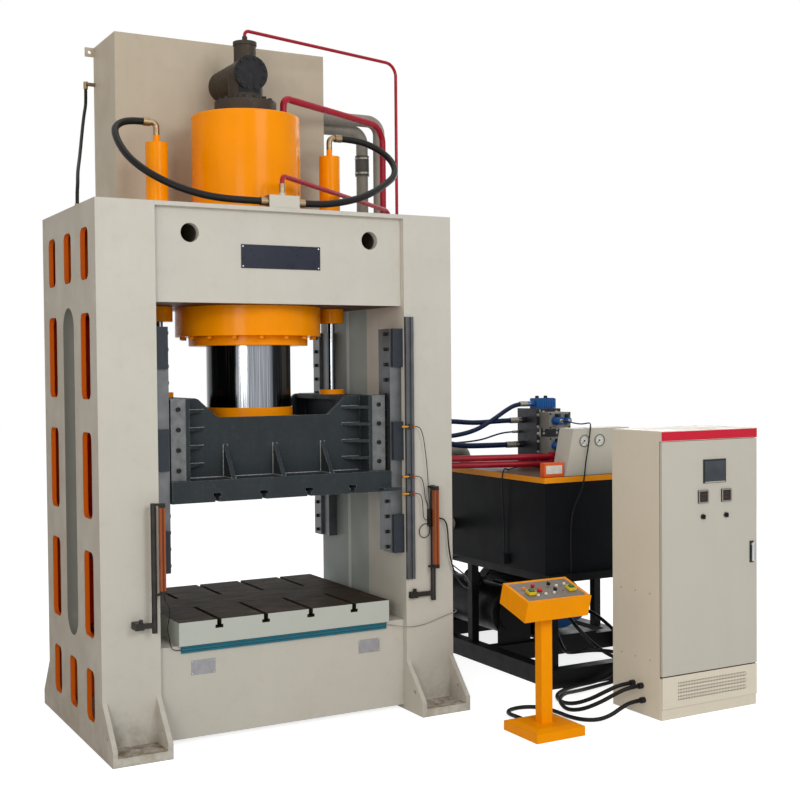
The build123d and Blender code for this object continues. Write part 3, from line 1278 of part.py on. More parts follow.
def power_base():
    """Skid of box rails with legs, a tank ring and a motor platform."""
    x0, x1 = UNIT_X
    body = frame_ring(UNIT_X, UNIT_Y, (0, SKID_RAIL_H), SKID_RAIL_W)
    for y in (PLATFORM_Y[0], PLATFORM_Y[1] - SKID_RAIL_W):
        body += block((x0 + SKID_RAIL_W, x1 - SKID_RAIL_W), (y, y + SKID_RAIL_W), (0, SKID_RAIL_H))
    platform_x = (MOTOR_X - PLATFORM_W / 2, MOTOR_X + PLATFORM_W / 2)
    body += block(platform_x, PLATFORM_Y, (SKID_RAIL_H, SKID_RAIL_H + PLATFORM_T))
    ring_y = (OIL_Y[0] - RING_LEDGE, OIL_Y[1] + RING_LEDGE)
    body += frame_ring(OIL_X, ring_y, RING_Z, SKID_RAIL_W)
    leg_xs = (OIL_X[0] + LEG_INSET, OIL_X[1] - LEG - LEG_INSET)
    leg_ys = (ring_y[0] + LEG_INSET, (ring_y[0] + ring_y[1] - LEG) / 2, ring_y[1] - LEG - LEG_INSET)
    for y in leg_ys:
        for x in leg_xs:
            body += block((x, x + LEG), (y, y + LEG), (SKID_RAIL_H, RING_Z[0]))
    return body


def oil_cooler():
    """Shell-and-tube cooler on saddles under the tank, with its shut-off valve."""
    y0, y1 = COOLER_Y
    shell_y = (y0 + COOLER_END, y1 - COOLER_END)
    body = bar_y(COOLER_X, shell_y, COOLER_Z, COOLER_R)
    for flange in ((shell_y[0], shell_y[0] + COOLER_FLANGE_T), (shell_y[1] - COOLER_FLANGE_T, shell_y[1])):
        body += bar_y(COOLER_X, flange, COOLER_Z, COOLER_R + COOLER_FLANGE)
    for cap in ((y0, shell_y[0]), (shell_y[1], y1)):
        body += bar_y(COOLER_X, cap, COOLER_Z, COOLER_R - COOLER_END_STEP)
    saddle_x = (COOLER_X - SADDLE_W / 2, COOLER_X + SADDLE_W / 2)
    for mid in SADDLE_Y:
        body += block(saddle_x, (mid - SADDLE_T / 2, mid + SADDLE_T / 2), (SKID_RAIL_H, COOLER_Z))
    x, y, z, r = COOLER_VALVE
    body += bar_y(x, (y - r / 2, y + r / 2), z, r) + post(x, y, (z, OIL_Z[0]), STUB_R)
    elbow_x = COOLER_X - r
    body += bar_x((x, elbow_x), y, z - STUB_R, STUB_R)
    return body + post(elbow_x, y, (COOLER_Z + COOLER_R / 2, z), STUB_R)


def power_tank():
    """Oil tank of the power unit, open under its lid."""
    body = block(OIL_X, OIL_Y, OIL_Z)
    inside = [(low + TANK_WALL, high - TANK_WALL) for low, high in (OIL_X, OIL_Y)]
    body -= block(*inside, (OIL_Z[0] + TANK_WALL, OIL_Z[1] + 1))
    switch_z = (OIL_Z[0] + SWITCH_Z[0], OIL_Z[0] + SWITCH_Z[1])
    body += block((OIL_X[0] - SWITCH_T, OIL_X[0]), SWITCH_Y, switch_z)
    wall_x = (OIL_X[0] - 1, OIL_X[0] + TANK_WALL + 1)
    return body - bar_x(wall_x, SUCTION_AT[1][0], SUCTION_ENTRY_Z, SUCTION_R - SUCTION_WALL)


def power_tank_lid():
    """Lid with a turned-down rim and the small indicator box on its front corner."""
    over = [(low - LID_OVER, high + LID_OVER) for low, high in (OIL_X, OIL_Y)]
    under = [(low + LID_RIM, high - LID_RIM) for low, high in (OIL_X, OIL_Y)]
    body = block(*over, (OIL_Z[1], LID_TOP)) - block(*under, (OIL_Z[1] - 1, LID_TOP - LID_SHEET))
    x, width, depth, height = LID_BOX
    y = OIL_Y[0] + LID_BOX_SETBACK
    body += block((OIL_X[0] + x, OIL_X[0] + x + width), (y, y + depth), (LID_TOP, LID_TOP + height))
    return body - post(SUCTION_END_X, SUCTION_AT[0][0], (OIL_Z[1], LID_TOP + 1), SUCTION_R - SUCTION_WALL)


def motor_shell():
    """Cast shell with its cooling fins, as one profile along the shaft."""
    root = MOTOR_R - FIN_H
    profile = Circle(root)
    fin = Pos(root + FIN_H / 2 - 1, 0) * Rectangle(FIN_H + 2, FIN_T)
    for step in range(FIN_COUNT):
        profile += Rot(0, 0, 360 * step / FIN_COUNT) * fin
    shell_y = (MOTOR_Y[0] + BELL_FLANGE_T, MOTOR_Y[1] - COWL_L)
    rear = Plane((MOTOR_X, shell_y[1], MOTOR_Z), z_dir=(0, -1, 0))
    return extrude(rear * profile, shell_y[1] - shell_y[0])


def drive_motor():
    """Foot-mounted motor with its fan cowl and terminal box."""
    y0, y1 = MOTOR_Y
    platform_top = SKID_RAIL_H + PLATFORM_T
    body = motor_shell()
    body += bar_y(MOTOR_X, (y0, y0 + BELL_FLANGE_T), MOTOR_Z, MOTOR_R)
    body += bar_y(MOTOR_X, (y1 - COWL_L, y1), MOTOR_Z, MOTOR_R - COWL_STEP)
    foot_y = (y0 + MOTOR_FOOT_Y[0], y1 - MOTOR_FOOT_Y[1])
    width, height = MOTOR_FOOT
    for side in (-1, 1):
        x = MOTOR_X + side * (MOTOR_R - height)
        body += block((x - width / 2, x + width / 2), foot_y, (platform_top, platform_top + height))
        body += block((x - MOTOR_WEB_T / 2, x + MOTOR_WEB_T / 2), foot_y, (platform_top, MOTOR_Z))
    width, depth, height = TERMINAL
    x = MOTOR_X - MOTOR_R + TERMINAL_SINK
    y = y0 + TERMINAL_Y
    body += block((x - width, x), (y, y + depth), (MOTOR_Z - MOTOR_LIFT, MOTOR_Z - MOTOR_LIFT + height))
    body += bar_y(MOTOR_X, (COUPLING_Y[1] - SHAFT_GRIP, y0), MOTOR_Z, SHAFT_R - RUN_FIT)
    return body


def motor_coupling():
    """Coupling hub between motor and pump, bored for both shafts."""
    body = bar_y(MOTOR_X, COUPLING_Y, MOTOR_Z, COUPLING_R)
    body -= bar_y(MOTOR_X, (COUPLING_Y[0] - 1, COUPLING_Y[1] + 1), MOTOR_Z, SHAFT_R)
    width, depth = COUPLING_GROOVE
    span = (COUPLING_MID - width / 2, COUPLING_MID + width / 2)
    outside = bar_y(MOTOR_X, span, MOTOR_Z, COUPLING_R + 1)
    return body - (outside - bar_y(MOTOR_X, span, MOTOR_Z, COUPLING_R - depth))


def main_pump():
    """Pump on a bell housing with inspection windows."""
    hollow = bar_y(MOTOR_X, (BELL_Y[0] + BELL_FLANGE_T, BELL_Y[1] + 1), MOTOR_Z, BELL_R - BELL_T)
    body = bar_y(MOTOR_X, BELL_Y, MOTOR_Z, BELL_R) - hollow
    width, height = BELL_WINDOW
    window_y = (COUPLING_MID - width / 2, COUPLING_MID + width / 2)
    body -= block((MOTOR_X - BELL_R - 1, MOTOR_X + BELL_R + 1), window_y,
                  (MOTOR_Z - height / 2, MOTOR_Z + height / 2))
    body += bar_y(MOTOR_X, PUMP_Y, MOTOR_Z, PUMP_R)
    width, over = PUMP_PORT
    body += block((MOTOR_X - width / 2, MOTOR_X + width / 2), (PUMP_Y[0] + PUMP_PORT_Y, PUMP_Y[1]),
                  (MOTOR_Z, MOTOR_Z + PUMP_R + over))
    body += bar_y(MOTOR_X, (BELL_Y[0], COUPLING_Y[0] + SHAFT_GRIP), MOTOR_Z, SHAFT_R - RUN_FIT)
    return body


def valve_manifold():
    """Drilled block with the hose fittings on its left face."""
    body = block(MANIFOLD_X, MANIFOLD_Y, MANIFOLD_Z)
    over, width, depth = MANIFOLD_STRIP
    x = MANIFOLD_X[0] - over
    body += block((x, x + width), (MANIFOLD_Y[0] - depth, MANIFOLD_Y[0]), MANIFOLD_Z)
    for (x, y, z), diameter in zip(SUPPLY_STOPS[1:], SUPPLY_D[1:]):
        body += bar_x((x, MANIFOLD_X[0]), y, z, diameter / 2 + FERRULE_WALL)
    return body


def control_valves():
    """Pilot valves with their coils on the manifold's front, and the valve on its top."""
    valves = []
    y = (MANIFOLD_Y[0] - VALVE_BLOCK, MANIFOLD_Y[0])
    x0 = MANIFOLD_X[0] + VALVE_INSET
    half = VALVE_BLOCK_H / 2
    for rise in VALVE_RISES:
        z = LID_TOP + rise
        body = block((x0, x0 + VALVE_BLOCK_W), y, (z - half, z + half))
        for length, r, offset in (COIL, CAP_COIL):
            body += bar_y(x0 + VALVE_BLOCK_W / 2 + offset, (y[0] - length, y[0]), z, r)
        valves.append(body)
    x, y, z = SUPPLY_STOPS[0]
    width, depth, height = TOP_VALVE
    valve_x = (x + 60, x + 60 + width)
    top = block(valve_x, (y - depth / 2, y + depth / 2), (MANIFOLD_Z[1], MANIFOLD_Z[1] + height))
    valves.append(top + bar_x((x, valve_x[0]), y, z, SUPPLY_D[0] / 2 + FERRULE_WALL))
    return group(*valves)


def panel_outline(inset, foot):
    """Outline of the gauge panel, set in by a sheet's thickness or not."""
    slope = PANEL_SLOPE + inset
    return [(PANEL_X[0] + inset, foot), (PANEL_X[1] - inset, foot), (PANEL_X[1] - slope, PANEL_TOP - inset),
            (PANEL_X[0] + slope, PANEL_TOP - inset)]


def gauge_panel():
    """Folded panel that carries the pressure gauges, on the lid's front edge."""
    body = plate_xz(panel_outline(0, LID_TOP), (GAUGE_Y, GAUGE_Y + PANEL_D))
    inside_y = (GAUGE_Y + PANEL_SHEET, GAUGE_Y + PANEL_D + 1)
    body -= plate_xz(panel_outline(PANEL_SHEET, LID_TOP - 1), inside_y)
    for x in GAUGE_XS:
        body -= bar_y(x, (GAUGE_Y - 1, GAUGE_Y + PANEL_SHEET + 1), GAUGE_Z, GAUGE_R - GAUGE_LIP)
    return body


def pressure_gauges():
    """Gauge cases, open at the front behind their rims."""
    cases = []
    face = GAUGE_Y - GAUGE_LIP / 2
    for x in GAUGE_XS:
        case = bar_y(x, (GAUGE_Y, GAUGE_Y + GAUGE_DEPTH), GAUGE_Z, GAUGE_R - GAUGE_LIP)
        case += bar_y(x, (GAUGE_Y - GAUGE_RIM, GAUGE_Y), GAUGE_Z, GAUGE_R)
        case -= bar_y(x, (GAUGE_Y - GAUGE_RIM - 1, face), GAUGE_Z, GAUGE_R - GAUGE_LIP / 2)
        case += bar_y(x, (face - 7, face), GAUGE_Z, SPINDLE_R)
        cases.append(case)
    return group(*cases)


def gauge_needle(x):
    """Needle on its spindle, pointing down left at zero."""
    y = (GAUGE_Y - 8, GAUGE_Y - 8 + NEEDLE_T)
    ring = bar_y(x, y, GAUGE_Z, 3 * SPINDLE_R)
    arm = block((x - NEEDLE_W / 2, x + NEEDLE_W / 2), y, (GAUGE_Z, GAUGE_Z + NEEDLE_L))
    needle = Pos(x, 0, GAUGE_Z) * Rot(0, NEEDLE_ZERO, 0) * Pos(-x, 0, -GAUGE_Z) * arm + ring
    return needle - bar_y(x, (GAUGE_Y - GAUGE_RIM, GAUGE_Y), GAUGE_Z, SPINDLE_R + RUN_FIT)


def cabinet_shell():
    """Sheet cabinet with a header, a louvred lower panel and a plinth."""
    x0, x1 = CAB_X
    y0, y1 = CAB_Y[0] + DOOR_T + DOOR_GAP, CAB_Y[1]
    body = block(CAB_X, (y0, y1), (0, CAB_H))
    inside_x = (x0 + CAB_SHEET, x1 - CAB_SHEET)
    inside_y = (y0 + CAB_SHEET, y1 - CAB_SHEET)
    body -= block(inside_x, inside_y, (PANEL_Z[0], CAB_H - CAB_SHEET))
    body -= block(inside_x, inside_y, (-1, PANEL_Z[0] - CAB_SHEET))
    body -= block((x0 + CAB_LIP, x1 - CAB_LIP), (y0 - 1, y0 + CAB_SHEET + 1),
                  (DOOR_Z[0] + CAB_LIP, DOOR_Z[1] - CAB_LIP))
    panel_x = (x0 + DOOR_INSET, x1 - DOOR_INSET)
    front = block(CAB_X, (CAB_Y[0], y0), (HEADER_Z, CAB_H))
    front += block(panel_x, (CAB_Y[0], y0), PANEL_Z)
    front += block(panel_x, (CAB_Y[0] + PLINTH_SETBACK, y0), (0, PANEL_Z[0]))
    body += front
    for row in range(LOUVRE_ROWS):
        z = PANEL_Z[0] + LOUVRE_FOOT + row * LOUVRE_PITCH
        body -= block((x0 + LOUVRE_ENDS[0], x1 - LOUVRE_ENDS[1]), (CAB_Y[0] - 1, CAB_Y[0] + CAB_SHEET),
                      (z, z + LOUVRE_H))
    for z in ((PANEL_Z[1], DOOR_Z[0] + PIVOT_L), (DOOR_Z[1] - PIVOT_L, HEADER_Z)):
        body += post(PIVOT_X, PIVOT_Y, z, PIVOT_R)
    for y, z in CONDUIT_PORTS:
        body += bar_x((x0 - CONDUIT_GLAND, x0), CAB_Y[0] + y, z, CABLE_D / 2 + GLAND_WALL)
    for x, z in BACK_PORTS:
        body += bar_y(x0 + x, (y1, y1 + CONDUIT_GLAND), z, CABLE_D / 2 + GLAND_WALL)
    return body


def cabinet_door():
    """Folded door pan with the handle's escutcheon."""
    x0, x1 = CAB_X[0] + DOOR_INSET, CAB_X[1] - DOOR_INSET
    y0, y1 = CAB_Y[0], CAB_Y[0] + DOOR_T
    body = block((x0, x1), (y0, y1), DOOR_Z)
    body -= block((x0 + DOOR_FOLD, x1 - DOOR_FOLD), (y0 + CAB_SHEET, y1 + 1),
                  (DOOR_Z[0] + DOOR_FOLD, DOOR_Z[1] - DOOR_FOLD))
    for z in ((DOOR_Z[0] - 1, DOOR_Z[0] + PIVOT_L + 1), (DOOR_Z[1] - PIVOT_L - 1, DOOR_Z[1] + 1)):
        body -= post(PIVOT_X, PIVOT_Y, z, PIVOT_R + RUN_FIT)
    width, depth = HANDLE_PLATE
    body += block((HANDLE_X - width / 2, HANDLE_X + width / 2), (y0 - depth, y0), HANDLE_Z)
    r, reach = HANDLE_STEM
    body += bar_y(HANDLE_X, (y0 - depth - reach, y0 - depth), HANDLE_Z[1] - HANDLE_TOP, r - RUN_FIT)
    for x in (PANEL_MID_X - INSTRUMENT_STEP, PANEL_MID_X + INSTRUMENT_STEP):
        body += bar_y(x, (y0 - SELECTOR_STEM_L, y0), SELECTOR_Z, SELECTOR_STEM_R - RUN_FIT)
    return body


def instrument(x, z, width, height, depth):
    """Flush instrument with a bevelled bezel on the door."""
    y0 = CAB_Y[0]
    body = block((x - width / 2, x + width / 2), (y0 - depth, y0), (z - height / 2, z + height / 2))
    return chamfer(body.faces().sort_by(Axis.Y)[0].edges(), BEZEL)


def door_instruments():
    """Operator screen and two panel meters."""
    size, depth = METER
    xs = (PANEL_MID_X - INSTRUMENT_STEP, PANEL_MID_X + INSTRUMENT_STEP)
    meters = [instrument(x, METER_Z, size, size, depth) for x in xs]
    return group(instrument(PANEL_MID_X, SCREEN_Z, *SCREEN), *meters)


def door_handle():
    """Swing lever on the escutcheon's spindle."""
    r, reach = HANDLE_STEM
    y = CAB_Y[0] - HANDLE_PLATE[1]
    front = y - reach - 2
    top = HANDLE_Z[1] - HANDLE_TOP
    body = bar_y(HANDLE_X, (front, y - DOOR_GAP), top, 2 * r)
    lever_x = (HANDLE_X - LEVER_W / 2, HANDLE_X + LEVER_W / 2)
    body += block(lever_x, (front, front + LEVER_T), (HANDLE_Z[0] + HANDLE_TOP / 2, top))
    return body - bar_y(HANDLE_X, (y - reach, y + 1), top, r)


def door_selector(x):
    """Selector knob with a grip bar."""
    y = CAB_Y[0]
    body = bar_y(x, (y - KNOB_H, y - DOOR_GAP), SELECTOR_Z, SELECTOR_R)
    body += block((x - GRIP_W / 2, x + GRIP_W / 2), (y - KNOB_H - GRIP_H, y - KNOB_H + 1),
                  (SELECTOR_Z - SELECTOR_R + 1, SELECTOR_Z + SELECTOR_R - 1))
    return body - bar_y(x, (y - SELECTOR_STEM_L - DOOR_GAP, y + 1), SELECTOR_Z, SELECTOR_STEM_R)


CONSOLE = Plane((STAND_X, CONSOLE_Y, CONSOLE_Z), x_dir=(1, 0, 0),
                z_dir=(0, -sin(radians(CONSOLE_TILT)), cos(radians(CONSOLE_TILT))))


def on_console(shape):
    """Place a shape, drawn over the console's top centre, on the tilted console."""
    return CONSOLE * shape


def control_pedestal():
    """Floor stand: base, chamfered column and tilted console housing."""
    half = STAND_BASE / 2
    body = block((STAND_X - half, STAND_X + half), (STAND_Y - half, STAND_Y + half), (0, STAND_BASE_T))
    toe = Rectangle(STAND_BASE - STAND_TOE / 2, STAND_BASE - STAND_TOE / 2)
    body += Pos(STAND_X, STAND_Y, STAND_BASE_T) * extrude(toe, STAND_TOE, taper=75)
    head = on_console(Pos(0, 0, -CONSOLE_H / 2) * Box(CONSOLE_W, CONSOLE_D, CONSOLE_H))
    column = extrude(Rectangle(STAND_COLUMN, STAND_COLUMN), CONSOLE_Z - CONSOLE_H / 2)
    column = Pos(STAND_X, STAND_Y, 0) * chamfer(column.edges().filter_by(Axis.Z), STAND_COLUMN / 10)
    body += column
    body += head
    recess = Box(CONSOLE_W - 2 * PANEL_INSET, CONSOLE_D - 2 * PANEL_INSET, 2 * PANEL_T)
    body -= on_console(recess)
    for u, v, r, travel in CONSOLE_BUTTONS.values():
        body -= on_console(Pos(u, v, -PANEL_T - WELL_D / 2) * Cylinder(r * STEM_SHARE + 1, WELL_D))
    return body


# Console controls that move: place on the panel, cap radius and travel
CONSOLE_BUTTONS = {
    "left_start_button": (-136, -25, 20, 5),
    "right_start_button": (156, -26, 20, 5),
    "emergency_stop": (-66, -14, 17, 5),
    "stop_button": (-80, 42, 12, 4),
    "mode_selector": (46, 55, 12, 0),
    "stroke_selector": (42, -22, 12, 0),
}
CONSOLE_CAPS = ((-146, 36), (-108, -63), (-48, -56), (16, -52), (87, 30), (152, 41), (86, -43))


def console_panel():
    """Engraving-free panel plate with the lamp and the small push buttons."""
    size = (CONSOLE_W - 2 * PANEL_INSET - 1, CONSOLE_D - 2 * PANEL_INSET - 1)
    plate = Pos(0, 0, -PANEL_T / 2) * Box(size[0], size[1], PANEL_T)
    for u, v, r, travel in CONSOLE_BUTTONS.values():
        plate -= Pos(u, v, 0) * Cylinder(r * STEM_SHARE + RUN_FIT, 4 * PANEL_T)
    for number, (u, v) in enumerate(CONSOLE_CAPS):
        radius = CAP_R + LAMP_RIM if number == 0 else CAP_R
        plate += Pos(u, v, CAP_H / 2) * Cylinder(radius, CAP_H)
    return on_console(plate)


def console_button(name):
    """Cap and stem of a push button or selector."""
    u, v, r, travel = CONSOLE_BUTTONS[name]
    stem = Pos(u, v, -PANEL_T / 2) * Cylinder(r * STEM_SHARE, 4 * PANEL_T)
    neck = Pos(u, v, CAP_LIFT) * Cylinder(r * STEM_SHARE, 4 * CAP_LIFT)
    if name.endswith("selector"):
        cap = Pos(u, v, CAP_LIFT + KNOB_H / 2) * Cylinder(r, KNOB_H)
        cap += Pos(u, v, CAP_LIFT + KNOB_H) * Box(GRIP_W, 2 * r, GRIP_H)
        return on_console(cap + stem)
    height = HEAD_H if name == "emergency_stop" else PUSH_H
    cap = Pos(u, v, travel + CAP_LIFT + height / 2) * Cylinder(r, height)
    cap = chamfer(cap.edges().group_by(Axis.Z)[-1], r / 5)
    return on_console(cap + neck + stem)


def switchgear_plate():
    """Mounting plate in the cabinet with its rows of switchgear."""
    face = CAB_Y[1] - CAB_SHEET - SWITCH_PLATE_T
    x0, x1 = CAB_X[0] + SWITCH_PLATE_INSET, CAB_X[1] - SWITCH_PLATE_INSET
    top = DOOR_Z[1] - SWITCH_PLATE_ENDS[1]
    body = block((x0, x1), (face, face + SWITCH_PLATE_T), (DOOR_Z[0] + SWITCH_PLATE_ENDS[0], top))
    for drop, count, depth, height in SWITCH_ROWS:
        pitch = (x1 - x0 - SWITCH_PLATE_INSET) / count
        z = top - drop
        for step in range(count):
            x = x0 + SWITCH_PLATE_INSET / 2 + pitch * (step + 0.5)
            half = SWITCH_FILL * pitch / 2
            body += block((x - half, x + half), (face - depth, face), (z - height / 2, z + height / 2))
    return body


# Routes of the free cords, as points chosen along each of them
LEFT_RETURN_ROUTE = [(-686, 0, 3756), (-770, 0, 3756), (-851, -35, 3724), (-898, -94, 3669),
                     (-900, -208, 3564), (-868, -316, 3464), (-785, -415, 3372), (-660, -499, 3294),
                     (-515, -552, 3245), (-385, -572, 3227), (-262, -575, 3224), (-146, -575, 3224)]
RIGHT_RETURN_ROUTE = [(686, 0, 3756), (795, 0, 3756), (901, -38, 3721), (971, -109, 3655),
                      (989, -200, 3571), (940, -294, 3484), (835, -367, 3416), (705, -444, 3345),
                      (560, -508, 3286), (405, -551, 3246), (268, -575, 3224), (146, -575, 3224)]
LEVEL_ROUTE = [(-808, 860, 4112), (-808, 860, 4056), (-817, 837, 3991), (-846, 766, 3928),
               (-886, 655, 3829), (-932, 520, 3718), (-978, 380, 3609), (-1028, 225, 3514),
               (-1075, 75, 3440), (-1098, -3, 3383), (-1112, -56, 3336), (-1124, -84, 3275),
               (-1124, -84, 3210)]
SUPPLY_ROUTES = [
    [(1330, 215, 1700), (1475, 215, 1700), (1740, 270, 1700), (1960, 312, 1736), (2130, 328, 1818),
     (2235, 330, 1879), (2330, 330, 1922), (2425, 330, 1922)],
    [(1330, 300, 1810), (1490, 300, 1810), (1745, 330, 1808), (1960, 350, 1786), (2200, 352, 1797),
     (2353, 352, 1797)],
    [(1330, 420, 1650), (1470, 420, 1650), (1640, 420, 1642), (1800, 420, 1638), (1960, 420, 1643),
     (2080, 420, 1656), (2190, 420, 1686), (2290, 420, 1705), (2388, 420, 1705)],
    [(1330, 385, 1726), (1470, 385, 1726), (1650, 384, 1665), (1840, 383, 1616), (2095, 382, 1610),
     (2343, 382, 1610)],
]
SENSOR_ROUTES = [
    [(868, -650, 1832), (900, -650, 1832), (926, -649, 1800), (942, -648, 1732), (953, -646, 1660),
     (962, -645, 1588), (968, -644, 1516), (974, -642, 1444), (977, -642, 1374), (984, -640, 1325),
     (984, -640, 1290)],
    [(868, -650, 1512), (898, -650, 1512), (925, -645, 1495), (943, -638, 1450), (953, -631, 1392),
     (964, -628, 1345), (978, -628, 1318), (978, -628, 1290)],
    [(868, -650, 1402), (900, -650, 1402), (922, -648, 1372), (930, -645, 1318), (934, -642, 1266),
     (939, -639, 1240), (954, -636, 1222), (976, -636, 1222)],
]
LOOP_ROUTE = [(976, -634, 1200), (952, -634, 1200), (930, -632, 1190), (915, -630, 1170),
              (911, -629, 1146), (919, -628, 1122), (940, -628, 1108), (965, -628, 1110),
              (984, -629, 1126), (988, -630, 1154), (988, -630, 1180)]
CURTAIN_CABLE_ROUTE = [(1034, -642, 1230), (1078, -642, 1230), (1108, -642, 1196), (1117, -643, 1140),
                       (1121, -643, 1060), (1135, -642, 970), (1162, -638, 885), (1205, -618, 815),
                       (1270, -580, 760), (1350, -510, 724), (1440, -400, 705), (1522, -282, 694),
                       (1598, -158, 688), (1662, -26, 690), (1712, 110, 697), (1752, 250, 707),
                       (1786, 390, 720), (1816, 510, 735), (1862, 600, 742), (1934, 600, 742)]
DUCT_WIRE_ROUTES = [
    [(-684, -584, 560), (-714, -584, 560), (-742, -592, 572), (-756, -602, 604), (-766, -612, 650),
     (-780, -624, 706), (-772, -636, 758), (-770, -648, 812), (-788, -666, 852), (-812, -680, 880),
     (-812, -680, 913)],
    [(684, -584, 560), (714, -584, 560), (760, -604, 550), (820, -627, 541), (885, -631, 539),
     (950, -630, 546), (1012, -628, 560), (1072, -628, 578), (1130, -628, 592), (1180, -624, 600),
     (1206, -602, 603), (1216, -568, 604), (1214, -530, 604), (1198, -500, 604), (1168, -500, 604)],
]
GAUGE_CABLE_ROUTE = [(2486, -26, 1800), (2486, -110, 1800), (2478, -215, 1788), (2454, -325, 1788),
                     (2420, -430, 1800), (2372, -530, 1806), (2328, -588, 1780), (2312, -592, 1700),
                     (2298, -590, 1610), (2280, -592, 1530), (2262, -604, 1456), (2244, -612, 1384),
                     (2214, -606, 1310), (2176, -600, 1240), (2150, -600, 1160), (2140, -602, 1060),
                     (2136, -604, 960), (2134, -612, 860), (2134, -612, 767)]
LEVEL_CABLE_ROUTE = [(2413, 250, 1462), (2350, 250, 1462), (2240, 200, 1451), (2130, 120, 1449),
                     (2040, 30, 1450), (1985, -45, 1464), (1938, -85, 1476), (1905, -107, 1440),
                     (1899, -108, 1380), (1902, -108, 1290), (1908, -108, 1190), (1914, -108, 1080),
                     (1917, -108, 970), (1917, -108, 860)]
FLOOR_ROUTES = [
    [(2020, -1385, 186), (1940, -1385, 186), (1860, -1350, 150), (1790, -1275, 90), (1748, -1160, 38),
     (1745, -1030, 15), (1800, -880, 15), (1930, -775, 15), (2100, -722, 15), (2270, -722, 20),
     (2410, -735, 62), (2520, -715, 150), (2600, -620, 222), (2655, -430, 285), (2680, -220, 345),
     (2680, -70, 370), (2680, 70, 370)],
    [(2020, -1464, 184), (1940, -1464, 184), (1862, -1435, 150), (1780, -1385, 95), (1700, -1300, 40),
     (1664, -1180, 15), (1700, -1050, 45), (1810, -960, 52), (1950, -890, 30), (2080, -830, 15),
     (2230, -800, 16), (2380, -800, 28), (2510, -806, 75), (2605, -805, 165), (2645, -800, 290),
     (2653, -796, 430), (2651, -792, 600), (2650, -790, 775), (2650, -702, 865), (2650, -585, 865)],
    [(2020, -1484, 97), (1945, -1484, 97), (1868, -1480, 70), (1790, -1474, 32), (1700, -1462, 14),
     (1622, -1410, 14), (1590, -1310, 14), (1592, -1200, 14), (1583, -1100, 14), (1546, -1020, 14),
     (1476, -980, 14), (1396, -980, 15), (1326, -1020, 18), (1286, -1090, 22), (1284, -1194, 28),
     (1284, -1294.5, 28)],
    [(2640, -1144, 150), (2640, -1040, 150), (2605, -930, 147), (2530, -835, 145), (2425, -765, 165),
     (2315, -735, 225), (2225, -690, 310), (2190, -600, 385), (2215, -475, 430), (2275, -325, 448),
     (2350, -150, 455), (2415, 40, 457), (2442, 235, 455), (2440, 420, 455), (2440, 590, 455)],
    [(2520, -1144, 190), (2520, -1050, 190), (2492, -955, 198), (2432, -868, 214), (2345, -805, 236),
     (2250, -765, 250), (2175, -700, 240), (2140, -610, 215), (2160, -505, 195), (2225, -370, 215),
     (2300, -200, 275), (2375, -10, 345), (2425, 190, 380), (2440, 390, 385), (2440, 590, 385)],
]
WIRE_D = 5
CURTAIN_CABLE_D = 10


def return_hoses():
    """Hoses from the return cylinders' elbows to the tee block."""
    x, y, z = TEE_END
    left = fit_route(LEFT_RETURN_ROUTE, (-HOSE_START_X, 0, ELBOW_Z), (-x, y, z))
    right = fit_route(RIGHT_RETURN_ROUTE, (HOSE_START_X, 0, ELBOW_Z), (x, y, z))
    return group(cord("left return hose", left, HOSE_D), cord("right return hose", right, HOSE_D))


def tank_level_hose():
    """Hose from the tank's side down to the left upright."""
    return cord("tank level hose", fit_route(LEVEL_ROUTE, LEVEL_START, LEVEL_END), LEVEL_D)


def supply_hoses():
    """Hoses from the port block to the valve manifold."""
    hoses = []
    for number, diameter in enumerate(SUPPLY_D):
        route = fit_route(SUPPLY_ROUTES[number], SUPPLY_STARTS[number], SUPPLY_STOPS[number])
        hoses.append(cord(f"supply hose {number}", route, diameter))
    return group(*hoses)


def signal_wires():
    """Sensor, light-curtain, duct and valve wires."""
    wires = [cord(f"sensor wire {number}", route, WIRE_D) for number, route in enumerate(SENSOR_ROUTES)]
    wires.append(cord("wire loop", LOOP_ROUTE, WIRE_D))
    wires += [cord(f"duct wire {number}", route, WIRE_D) for number, route in enumerate(DUCT_WIRE_ROUTES)]
    wires.append(cord("light curtain cable", CURTAIN_CABLE_ROUTE, CURTAIN_CABLE_D))
    wires.append(cord("gauge panel cable", GAUGE_CABLE_ROUTE, CURTAIN_CABLE_D))
    wires.append(cord("level switch cable", LEVEL_CABLE_ROUTE, CURTAIN_CABLE_D))
    return group(*wires)


def floor_cables():
    """Cables from the cabinet to the console and the power unit."""
    cables = [cord(f"floor cable {number}", route, CABLE_D) for number, route in enumerate(FLOOR_ROUTES)]
    return group(*cables)


